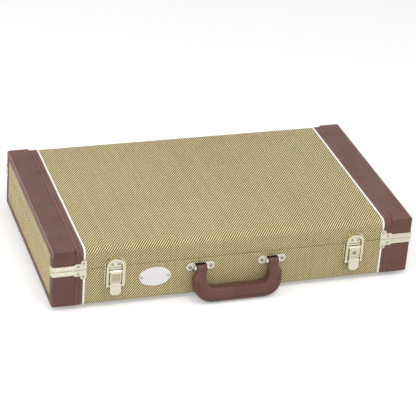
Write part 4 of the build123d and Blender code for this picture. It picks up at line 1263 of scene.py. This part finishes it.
@dataclass
class Piping:
    """White bead in the seams between tweed and leatherette."""

    sizes: CaseSizes = SIZES
    root_depth: float = 0.9
    root_share: float = 0.8
    pressed_share: float = 0.92

    def build(self) -> None:
        """Makes the beads of both halves."""
        for half in Half:
            section = Section(half, self.sizes)
            mesh = bmesh.new()
            start = self.sizes.fitting_rise + 0.1
            rows = [row for row in section.stops(9.0, 12) if start < row < section.length - start]
            rows = [start, *rows, section.length - start]
            for side in (-1, 1):
                rings = [self.ring(section, side, row) for row in rows]
                close_ends(mesh, web(mesh, rings, closed=True))
            face_outward(mesh)
            settle(f"{half.value}_bead", mesh, PIPING, half.body, [f"{half.value}_piping"])

    def ring(self, section: Section, side: int, row: float) -> Ring:
        """The bead's outline at one place.

        Args:
            section: The half's section.
            side: -1 for the left bead, 1 for the right.
            row: Distance along the section.

        Returns:
            The outline's points.
        """
        half_width = self.sizes.piping_width / 2
        proud = self.sizes.piping_proud
        if section.half is Half.BASE:
            turned = (min(row, section.length - row) - section.wall_run) / section.bend_run
            proud *= 1 - self.pressed_share * min(1.0, max(0.0, turned))
        outline = [(half_width * math.cos(a), proud * math.sin(a)) for a in full_turn(20)[:11]]
        outline += [(side * half_width * self.root_share, -self.root_depth) for side in (-1, 1)]
        points = []
        for across, lift in outline:
            y, z, _, _ = section.point(row, 0.0, lift)
            points.append(place(side * (self.sizes.piping_x + across), y, z))
        return points


# --- Hardware ---


@dataclass
class CornerFittings:
    """Stepped plates bent round the corners, in pairs across the parting line."""

    round_off: float = 0.28

    def build(self) -> None:
        """Makes the eight plates."""
        for half in Half:
            for corner in ("front_left", "front_right", "back_left", "back_right"):
                node = f"{half.value}_fitting_{corner}"
                refined(node, PALE_BRASS, half.body, self.round_off, "plate")


@dataclass
class Latches:
    """Two draw latches, the right one with a lock."""

    plate: float = 1.2
    plug_x: float = 200.0
    plug_z: float = 49.5
    plug_front: float = -180.7
    keyway_reach: float = 2.5

    def in_keyway(self, middle: Vector) -> bool:
        """Whether a face of the plug lies in its keyway."""
        out = math.hypot(middle.x - self.plug_x, middle.z - self.plug_z)
        return middle.y > self.plug_front and out < self.keyway_reach

    def recessed(self, middle: Vector) -> bool:
        """Whether a face lies between a plate's rim and its boss."""
        return abs(middle.y + SIZES.half_depth + self.plate) < 0.12

    def build(self) -> None:
        """Makes the plates, levers, hasps, pins and the plug."""
        for side in ("left", "right"):
            name = f"latch_{side}"
            for part, body in (("base_plate", "root"), ("catch_plate", "lid")):
                # Each plate's recessed faces, between rim and boss, get painted shade in a deeper brass.
                refined(f"{name}_{part}", PALE_BRASS, body, 0.22, second=RECESS_SHADE_BRASS,
                        chosen=self.recessed)
            for part, mover, round_off in (("lever", "lever", 0.25), ("hasp", "hasp", 0.5),
                                           ("hasp_pin", "lever", 0.12)):
                refined(f"{name}_{part}", PALE_BRASS, f"{name}_{mover}_body", round_off)
        refined("latch_lever_pins", PALE_BRASS, "root", 0.12)
        # The plug's keyway gets painted shade in black.
        refined("latch_lock_plug", RIVET_BRASS, "lock_plug_body", 0.15, second=SHADE_BLACK,
                chosen=self.in_keyway)


@dataclass
class Fasteners:
    """Domed rivets and slotted screws, seated where the solids are."""

    round_off: float = 0.15
    slot_share: float = 0.86
    slot_width: float = 1.1
    slot_depth: float = 0.8
    first_turn: float = 35.0
    next_turn: float = 41.0
    badge_reach: tuple[float, float] = (25.0, 4.0)

    def build(self) -> None:
        """Makes the five groups."""
        refined("base_rivets", RIVET_BRASS, "root", self.round_off, second=STEEL,
                chosen=self.on_badge)
        refined("lid_rivets", RIVET_BRASS, "lid", self.round_off)
        for node, finish, body, slot, facing in (("handle_screws", SCREW, "root", "pale_nickel", -1),
                                                 ("hinge_base_screws", PALE_BRASS, "root", "pale_brass", 1),
                                                 ("hinge_lid_screws", PALE_BRASS, "lid", "pale_brass", 1)):
            piece = refined(node, finish, body, self.round_off, "slotted")
            cutters = bmesh.new()
            for number, (middle, width) in enumerate(self.heads(node, facing)):
                slot_cutter(cutters, middle, facing, width * self.slot_share, self.slot_width,
                            self.slot_depth, self.first_turn + self.next_turn * number)
            carve(piece, cutters)

    def on_badge(self, middle: Vector) -> bool:
        """Whether a face belongs to one of the badge's rivets."""
        across, up = self.badge_reach
        return abs(middle.x - SIZES.badge_x) < across and abs(middle.z - SIZES.badge_z) < up

    def heads(self, node: str, facing: int) -> list[tuple[Vector, float]]:
        """The crown and width of each screw head in a node.

        Args:
            node: The solids.
            facing: -1 where the heads face forward, 1 where they face back.

        Returns:
            Each head's crown in metres and its width in millimetres.
        """
        mesh = bmesh.new()
        mesh.from_mesh(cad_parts[node].data)
        bmesh.ops.remove_doubles(mesh, verts=mesh.verts, dist=SAME_POINT)
        left, found = set(mesh.verts), []
        while left:
            reached, edge = set(), [next(iter(left))]
            while edge:
                vertex = edge.pop()
                if vertex not in reached:
                    reached.add(vertex)
                    edge.extend(link.other_vert(vertex) for link in vertex.link_edges)
            left -= reached
            points = [vertex.co for vertex in reached]
            low = Vector(min(p[i] for p in points) for i in range(3))
            high = Vector(max(p[i] for p in points) for i in range(3))
            front = high.y if facing > 0 else low.y
            crown = Vector(((low.x + high.x) / 2, front, (low.z + high.z) / 2))
            found.append((crown, (high.x - low.x) / MM))
        mesh.free()
        return sorted(found, key=lambda head: (head[0].x, head[0].z))


@dataclass
class Hinges:
    """Two butt hinges at the back."""

    def build(self) -> None:
        """Makes the leaves and pins."""
        for node, body, round_off in (("hinge_base_leaves", "root", 0.2), ("hinge_lid_leaves", "lid", 0.2),
                                      ("hinge_pins", "root", 0.15)):
            refined(node, PALE_BRASS, body, round_off)


@dataclass
class Badge:
    """A bare oval plate with a rolled rim."""

    half_width: float = 26.0
    half_rise: float = 17.0
    profile: tuple[tuple[float, float], ...] = (
        (1.0, 0.0), (1.0, 0.55), (0.985, 0.82), (0.96, 0.9), (0.93, 0.86), (0.905, 0.62), (0.88, 0.58),
        (0.6, 0.66), (0.3, 0.72))

    def build(self) -> None:
        """Makes the plate."""
        mesh = bmesh.new()
        rings = [[place(SIZES.badge_x + self.half_width * share * math.cos(a), -SIZES.half_depth - lift,
                        SIZES.badge_z + self.half_rise * share * math.sin(a)) for a in full_turn(96)]
                 for share, lift in self.profile]
        close_ends(mesh, web(mesh, rings, closed=True))
        face_outward(mesh)
        settle("badge_oval", mesh, ENAMEL, "root", ["badge_plate"])


# --- Handle ---


@dataclass
class Handle:
    """Moulded grip on its strap, with two brackets on the base."""

    pivot: tuple[float, float, float] = (0.0, -179.0, SIZES.handle_height)
    tilt: float = 9.6
    half_spacing: float = SIZES.handle_half_spacing
    outer_half: float = 74.0
    inner_half: float = 52.8
    outer_drop: float = 57.4
    inner_drop: float = 34.5
    outer_bend: float = 31.0
    inner_bend: float = 15.0
    neck_half: float = 8.1
    shoulder: tuple[float, float] = (-6.8, -17.5)
    # Size of each black tray of painted shade in the handle openings.
    shade_tray_half_width: float = 8.85
    shade_tray_half_height: float = 5.55
    shade_tray_depth: float = 2.9
    neck_depth: float = 5.3
    leg_depth: float = 9.0
    grip_depth: float = 13.0
    neck_end: float = -7.0
    leg_middle: float = -20.0
    leg_end: float = -45.25
    crown: float = 0.5
    collar: float = 0.5
    collar_reach: tuple[float, float] = (-7.5, -5.7)
    inner_round: float = 2.8
    outer_round: float = 6.5
    round_share: float = 0.36
    groove: float = 0.55
    groove_inset: float = 0.4
    thread_sunk: float = 0.35
    thread_reach: tuple[float, float] = (40.0, -17.0)

    def build(self) -> None:
        """Makes the grip and dresses the brackets, pins and strap."""
        self.grip()
        for side in ("left", "right"):
            refined(f"handle_bracket_{side}", NICKEL, "root", 0.3)
        refined("handle_pins", NICKEL, "root", 0.2)
        self.shade_trays()
        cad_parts["handle_core"].data.materials[0] = STEEL.material()

    def shade_trays(self) -> None:
        """A black tray in each opening behind the brackets: painted shade, as the openings lie in shadow."""
        mesh = bmesh.new()
        front = -SIZES.half_depth
        for middle in (-self.half_spacing, self.half_spacing):
            rings = []
            for scale, depth in ((1.0, -0.2), (1.0, 0.8), (1.0, self.shade_tray_depth - 0.5),
                                 (0.97, self.shade_tray_depth), (0.5, self.shade_tray_depth)):
                rings.append([place(middle + sx * self.shade_tray_half_width * scale, front + depth,
                                    self.pivot[2] + sz * self.shade_tray_half_height * scale)
                              for sx, sz in ((-1, -1), (1, -1), (1, 1), (-1, 1))])
            made = web(mesh, rings, closed=True)
            mesh.faces.new(made[-1])
        mouth = place(0, front, self.pivot[2])
        turn_faces(mesh, lambda middle: Vector((math.copysign(self.half_spacing * MM, middle.x),
                                                mouth.y, mouth.z)) - middle)
        settle("handle_opening_trays", mesh, SHADE_BLACK, "root", smooth=False)

    def to_frame(self, x: float, y: float, z: float) -> Vector:
        """A point of the handle, hanging straight from its pivot, in the shared frame."""
        turned = Matrix.Rotation(math.radians(-self.tilt), 3, "X") @ Vector((x, y, z))
        return place(*(Vector(self.pivot) + turned))

    def rails(self) -> list[tuple[Vector, Vector]]:
        """Points on the inner and the outer outline, from the right eye to the middle."""
        pairs = []
        for z in (5.2, 4.6, 3.4, 1.8, 0.0, -2.4, -4.6, -5.4, -5.9, -6.6, -7.3, -7.8, -8.6, -9.8, -11.2, -12.8,
                  -14.6, -16.4, -18.4):
            share = min(1.0, max(0.0, (self.shoulder[0] - z) / (self.shoulder[0] - self.shoulder[1])))
            ease = share * share * (3 - 2 * share)
            inner = self.half_spacing - self.neck_half
            outer = self.half_spacing + self.neck_half
            pairs.append((Vector((inner + ease * (self.inner_half - inner), z)),
                          Vector((outer + ease * (self.outer_half - outer), z))))
        inner_end = self.inner_bend - self.inner_drop
        outer_end = self.outer_bend - self.outer_drop
        for turn in quarter_turn(12):
            pairs.append((Vector((self.inner_half - self.inner_bend * (1 - math.cos(turn)),
                                  inner_end - self.inner_bend * math.sin(turn))),
                          Vector((self.outer_half - self.outer_bend * (1 - math.cos(turn)),
                                  outer_end - self.outer_bend * math.sin(turn)))))
        for x in (28.0, 18.0, 9.0, 0.0):
            pairs.append((Vector((x, -self.inner_drop)), Vector((x, -self.outer_drop))))
        return pairs

    def half_depth_at(self, z: float) -> float:
        """Half the grip's thickness from front to back at a height."""
        if z > 0:
            return math.sqrt(max(self.neck_depth ** 2 - z * z, 0.6))
        marks = ((self.neck_end, self.neck_depth), (self.leg_middle, self.leg_depth),
                 (self.leg_end, self.grip_depth))
        for (start, first), (end, second) in zip(marks, marks[1:]):
            if z > start:
                return first
            if z >= end:
                return first + (second - first) * (z - start) / (end - start)
        return self.grip_depth

    def outer_radius(self, outer: Vector, span: float) -> float:
        """Radius of the section's outer edges."""
        return min(self.outer_round, self.half_depth_at(outer.y) * 0.7, span * self.round_share)

    def outline(self, inner: Vector, outer: Vector) -> list[tuple[float, float]]:
        """The grip's cross-section between two outline points.

        Args:
            inner: The point on the inner outline.
            outer: The point on the outer outline.

        Returns:
            Distance from the inner point and depth, round the section.
        """
        span = (outer - inner).length
        middle = (inner.y + outer.y) / 2
        collar = self.collar if self.collar_reach[0] < middle < self.collar_reach[1] else 0.0
        full = min(1.0, max(0.0, (-middle - 14.0) / 10.0))
        near, far = self.half_depth_at(inner.y), self.half_depth_at(outer.y)
        inner_round = min(self.inner_round, near * 0.75, span * self.round_share)
        outer_round = self.outer_radius(outer, span)

        def depth(across: float) -> float:
            """Half the depth at a distance from the inner point, crowned."""
            share = across / span
            return near + (far - near) * share + self.crown * full * math.sin(math.pi * share)

        points = [(-collar, 0.0), (-collar, depth(0) * 0.45)]
        for turn in quarter_turn(5):
            points.append((inner_round * (1 - math.cos(turn)) - collar * math.cos(turn),
                           depth(inner_round) - inner_round + (inner_round + collar) * math.sin(turn)))
        line = span - outer_round - self.groove_inset
        for share in (0.3, 0.6, 0.85):
            across = inner_round + (line - 1.4 - inner_round) * share
            points.append((across, depth(across) + collar))
        for step, drop in ((-1.3, 0.0), (-0.75, 0.15), (-0.3, 1.0), (0.3, 1.0), (0.75, 0.1)):
            points.append((line + step, depth(line + step) - self.groove * full * drop + collar))
        turned = outer_round + collar
        for turn in quarter_turn(5, 1):
            points.append((span - outer_round + turned * math.sin(turn),
                           depth(span - outer_round) - outer_round + turned * math.cos(turn)))
        points.append((span + collar, depth(span) * 0.3))
        return points + [(across, -y) for across, y in points[:0:-1]]

    def grip(self) -> None:
        """The moulded grip, with a groove and stitches along its outer edge."""
        rails = self.rails()
        pairs = rails + [(Vector((-a.x, a.y)), Vector((-b.x, b.y))) for a, b in rails[-2::-1]]
        rings = []
        for inner, outer in pairs:
            towards = (outer - inner).normalized()
            ring = []
            for across, depth in self.outline(inner, outer):
                spot = inner + towards * across
                ring.append(self.to_frame(spot.x, depth, spot.y))
            rings.append(ring)
        mesh = bmesh.new()
        close_ends(mesh, web(mesh, rings, closed=True))
        face_outward(mesh)
        piece = settle("handle_moulded_grip", mesh, GRIP, "handle", ["handle_grip"])
        piece.modifiers.new("smooth_form", "SUBSURF").render_levels = 2
        self.grip_stitching(pairs)

    def grip_stitching(self, pairs: Sequence[tuple[Vector, Vector]]) -> None:
        """Stitches in the grip's groove, front and back.

        Args:
            pairs: Points on the inner and the outer outline, from eye to eye.
        """
        mesh = bmesh.new()
        for face in (-1, 1):
            out = (self.to_frame(0, face, 0) - self.to_frame(0, 0, 0)).normalized()
            seam = []
            for inner, outer in pairs:
                if inner.y > self.thread_reach[1] and abs(inner.x) > self.thread_reach[0]:
                    continue
                span = (outer - inner).length
                across = span - self.outer_radius(outer, span) - self.groove_inset
                share = across / span
                near, far = self.half_depth_at(inner.y), self.half_depth_at(outer.y)
                depth = near + (far - near) * share + self.crown * math.sin(math.pi * share)
                spot = inner + (outer - inner).normalized() * across
                seam.append((self.to_frame(spot.x, face * (depth - self.thread_sunk), spot.y), out))
            stitches(mesh, seam, 2.6, 1.0, 0.6, 0.1)
        settle("handle_stitches", mesh, GRIP_THREAD, "handle")


# --- Inside and underneath ---


@dataclass
class Lining:
    """Plush walls and pads."""

    swell: float = 2.0
    quilt_x: int = 6
    quilt_y: int = 3
    columns: int = 96
    rows: int = 48
    shoulder: float = 6.0
    rim_share: float = 0.45
    channel_fade: float = 14.0
    channel_power: float = 0.35

    def build(self) -> None:
        """Makes the plush walls and the two pads."""
        for node, body in (("base_alignment_lip", "root"), ("base_wall_lining", "root"),
                           ("lid_wall_lining", "lid")):
            piece = refined(node, PLUSH, body, 0.9, "plush")
        self.pad("pedal_floor_pad", "root", "floor_pad_plush", 1)
        self.pad("lid_foam_pad", "lid", "lid_pad_plush", -1)

    def pad(self, node: str, body: str, name: str, out: int) -> None:
        """One pad: a crowned slab, its face sewn down in shallow channels.

        Args:
            node: The solid it stands for.
            body: The body it rides on.
            name: The piece's name.
            out: 1 where its open face is up, -1 where it is down.
        """
        low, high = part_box(node)
        back = low.z if out > 0 else high.z
        face = high.z if out > 0 else low.z
        thick = abs(face - back)
        mesh = bmesh.new()
        rings = []
        for i in range(self.columns + 1):
            x = low.x + (high.x - low.x) * i / self.columns
            ring = []
            for j in range(self.rows + 1):
                y = low.y + (high.y - low.y) * j / self.rows
                edge = min(x - low.x, high.x - x, y - low.y, high.y - y) / MM
                fall = 1 - min(edge, self.shoulder) / self.shoulder
                full = self.rim_share + (1 - self.rim_share) * math.sqrt(max(0.0, 1 - fall ** 2))
                u = (x - low.x) / (high.x - low.x) * self.quilt_x
                v = (y - low.y) / (high.y - low.y) * self.quilt_y
                crown = (abs(math.sin(math.pi * u)) * abs(math.sin(math.pi * v))) ** self.channel_power
                dip = self.swell * MM * (1 - crown) * min(1.0, edge / self.channel_fade)
                ring.append(Vector((x, y, back + out * (thick * full - dip))))
            rings.append(ring)
        web(mesh, rings)
        rim = [edge for edge in mesh.edges if edge.is_boundary]
        lowered = bmesh.ops.extrude_edge_only(mesh, edges=rim)["geom"]
        for vertex in (item for item in lowered if isinstance(item, bmesh.types.BMVert)):
            vertex.co.z = back
        hem = [item for item in lowered if isinstance(item, bmesh.types.BMEdge)]
        bmesh.ops.contextual_create(mesh, geom=hem)
        face_outward(mesh)
        piece = settle(name, mesh, PLUSH, body, [node])


@dataclass
class Feet:
    """Four rubber feet with a rounded rim and a socket."""

    x: float = 225.0
    y: float = 136.5
    profile: tuple[tuple[float, float], ...] = (
        (0.0, 0.0), (11.0, 0.0), (11.0, -0.6), (10.6, -3.0), (9.9, -6.8), (9.6, -7.6), (8.9, -8.0),
        (5.0, -8.0), (4.3, -7.6), (4.0, -7.0), (4.0, -4.0), (0.0, -4.0))

    def build(self) -> None:
        """Turns the feet."""
        mesh = bmesh.new()
        for x, y in ((sx * self.x, sy * self.y) for sx in (-1, 1) for sy in (-1, 1)):
            rings = [[place(x + radius * math.cos(a), y + radius * math.sin(a), z) for a in full_turn(32)]
                     for radius, z in self.profile]
            web(mesh, rings, closed=True)
        bmesh.ops.remove_doubles(mesh, verts=mesh.verts, dist=1e-7)
        bmesh.ops.dissolve_degenerate(mesh, edges=mesh.edges, dist=1e-7)
        face_outward(mesh)
        settle("rubber_feet", mesh, RUBBER, "root", ["feet"])


@dataclass
class Boards:
    """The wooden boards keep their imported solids."""

    nodes: tuple[str, ...] = ("base_front_board", "base_back_board", "base_end_boards", "base_bottom_board",
                              "lid_front_board", "lid_back_board", "lid_end_boards", "lid_top_board")

    def build(self) -> None:
        """Dresses the boards."""
        for node in self.nodes:
            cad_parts[node].data.materials[0] = TIMBER.material()
            LOG.info("%s: plywood", node)


# --- Studio ---


@dataclass
class Studio:
    """Pale floor, soft light, and the camera at the photograph's angle."""

    azimuth: float = -19.37
    elevation: float = 29.21
    roll: float = 4.41
    distance: float = 2988.6
    shift: tuple[float, float] = (6.07, 2.73)
    focal_pixels: float = 1787.5
    picture: float = 416.0
    sensor: float = 36.0
    world_strength: float = 0.55
    floor_size: float = 14.0
    floor_tone: float = 0.82
    floor_glow: float = 0.30
    lamps: tuple[tuple[str, tuple[float, float, float], float, float], ...] = (
        ("key_light", (-900.0, -1300.0, 1700.0), 1.6, 11.0),
        ("fill_light", (1500.0, -900.0, 900.0), 1.4, 7.0),
        ("side_light", (-2000.0, 100.0, 750.0), 1.5, 18.0),
        ("top_light", (150.0, -900.0, 1700.0), 0.7, 8.0))

    def build(self) -> None:
        """Sets the camera, the floor, the world and the lamps."""
        self.camera()
        self.floor()
        self.world()
        for name, spot, size, power in self.lamps:
            self.lamp(name, spot, size, power)
        bpy.context.scene.view_settings.view_transform = "Standard"

    def camera(self) -> None:
        """The camera, from the angles and the distance."""
        azimuth, elevation, roll = (math.radians(v) for v in (self.azimuth, self.elevation, self.roll))
        back = Vector((math.sin(azimuth) * math.cos(elevation), -math.cos(azimuth) * math.cos(elevation),
                       math.sin(elevation)))
        right = (-back).cross(Vector((0, 0, 1))).normalized()
        up = right.cross(-back)
        across = math.cos(roll) * right + math.sin(roll) * up
        upward = math.cos(roll) * up - math.sin(roll) * right
        spot = Vector((0, 0, SIZES.height / 2)) + back * self.distance
        spot += across * self.shift[0] + upward * self.shift[1]
        data = bpy.data.cameras.new("camera")
        data.sensor_width = self.sensor
        data.lens = self.focal_pixels / self.picture * self.sensor
        data.clip_start, data.clip_end = 0.05, 50.0
        camera = added("camera", data)
        turn = Matrix((across, upward, back)).transposed().to_4x4()
        camera.matrix_world = Matrix.Translation(place(*spot)) @ turn
        bpy.context.scene.camera = camera

    def floor(self) -> None:
        """A wide floor that keeps the object's shadow."""
        mesh = bmesh.new()
        bmesh.ops.create_grid(mesh, x_segments=2, y_segments=2, size=self.floor_size)
        floor = added("studio_floor", kept("studio_floor", mesh))
        made = bpy.data.materials.new("studio_floor")
        made.use_nodes = True
        w = Wiring(made.node_tree)
        nodes = made.node_tree.nodes
        matt = nodes["Principled BSDF"]
        w.put(matt.inputs["Base Color"], (self.floor_tone,) * 3)
        w.put(matt.inputs["Roughness"], 0.9)
        w.put(matt.inputs["Specular IOR Level"], 0.1)
        glow = w.node("Emission")
        seen = w.node("LightPath")
        w.put(glow.inputs["Strength"], w.times(seen.outputs["Is Camera Ray"], self.floor_glow))
        both = w.node("AddShader")
        w.put(both.inputs[0], matt.outputs[0])
        w.put(both.inputs[1], glow.outputs[0])
        w.put(nodes["Material Output"].inputs["Surface"], both.outputs[0])
        floor.data.materials.append(made)

    def world(self) -> None:
        """White to the camera and to gloss, softer as light."""
        world = bpy.data.worlds.new("studio_world")
        world.use_nodes = True
        bpy.context.scene.world = world
        w = Wiring(world.node_tree)
        seen = w.node("LightPath")
        either = w.math("MAXIMUM", seen.outputs["Is Camera Ray"],
                        w.math("MAXIMUM", seen.outputs["Is Glossy Ray"], seen.outputs["Is Transmission Ray"]))
        sky = world.node_tree.nodes["Background"]
        w.put(sky.inputs["Color"], (1.0, 1.0, 1.0))
        w.put(sky.inputs["Strength"], w.blend(either, self.world_strength, 1.0))

    def lamp(self, name: str, spot: tuple[float, float, float], size: float, power: float) -> None:
        """One soft square lamp aimed at the case.

        Args:
            name: Its name.
            spot: Where it is, in millimetres.
            size: Its side in metres.
            power: Its power in watts.
        """
        data = bpy.data.lights.new(name, "AREA")
        data.shape = "SQUARE"
        data.size = size
        data.energy = power
        lamp = added(name, data)
        lamp.location = place(*spot)
        lamp.rotation_euler = (place(0, 0, 50) - lamp.location).to_track_quat("-Z", "Y").to_euler()


def main() -> None:
    """Builds the case, sub-assembly by sub-assembly, and then the studio."""
    logging.basicConfig(level=logging.INFO, format="%(name)s: %(message)s")
    for kind in (TweedCovers, EndCaps, Piping, CornerFittings, Latches, Fasteners, Hinges, Badge, Handle,
                 Lining, Feet, Boards, Studio):
        assembly = kind()
        assembly.build()
        LOG.info("%s built", type(assembly).__name__)


if __name__ == "__main__":
    main()
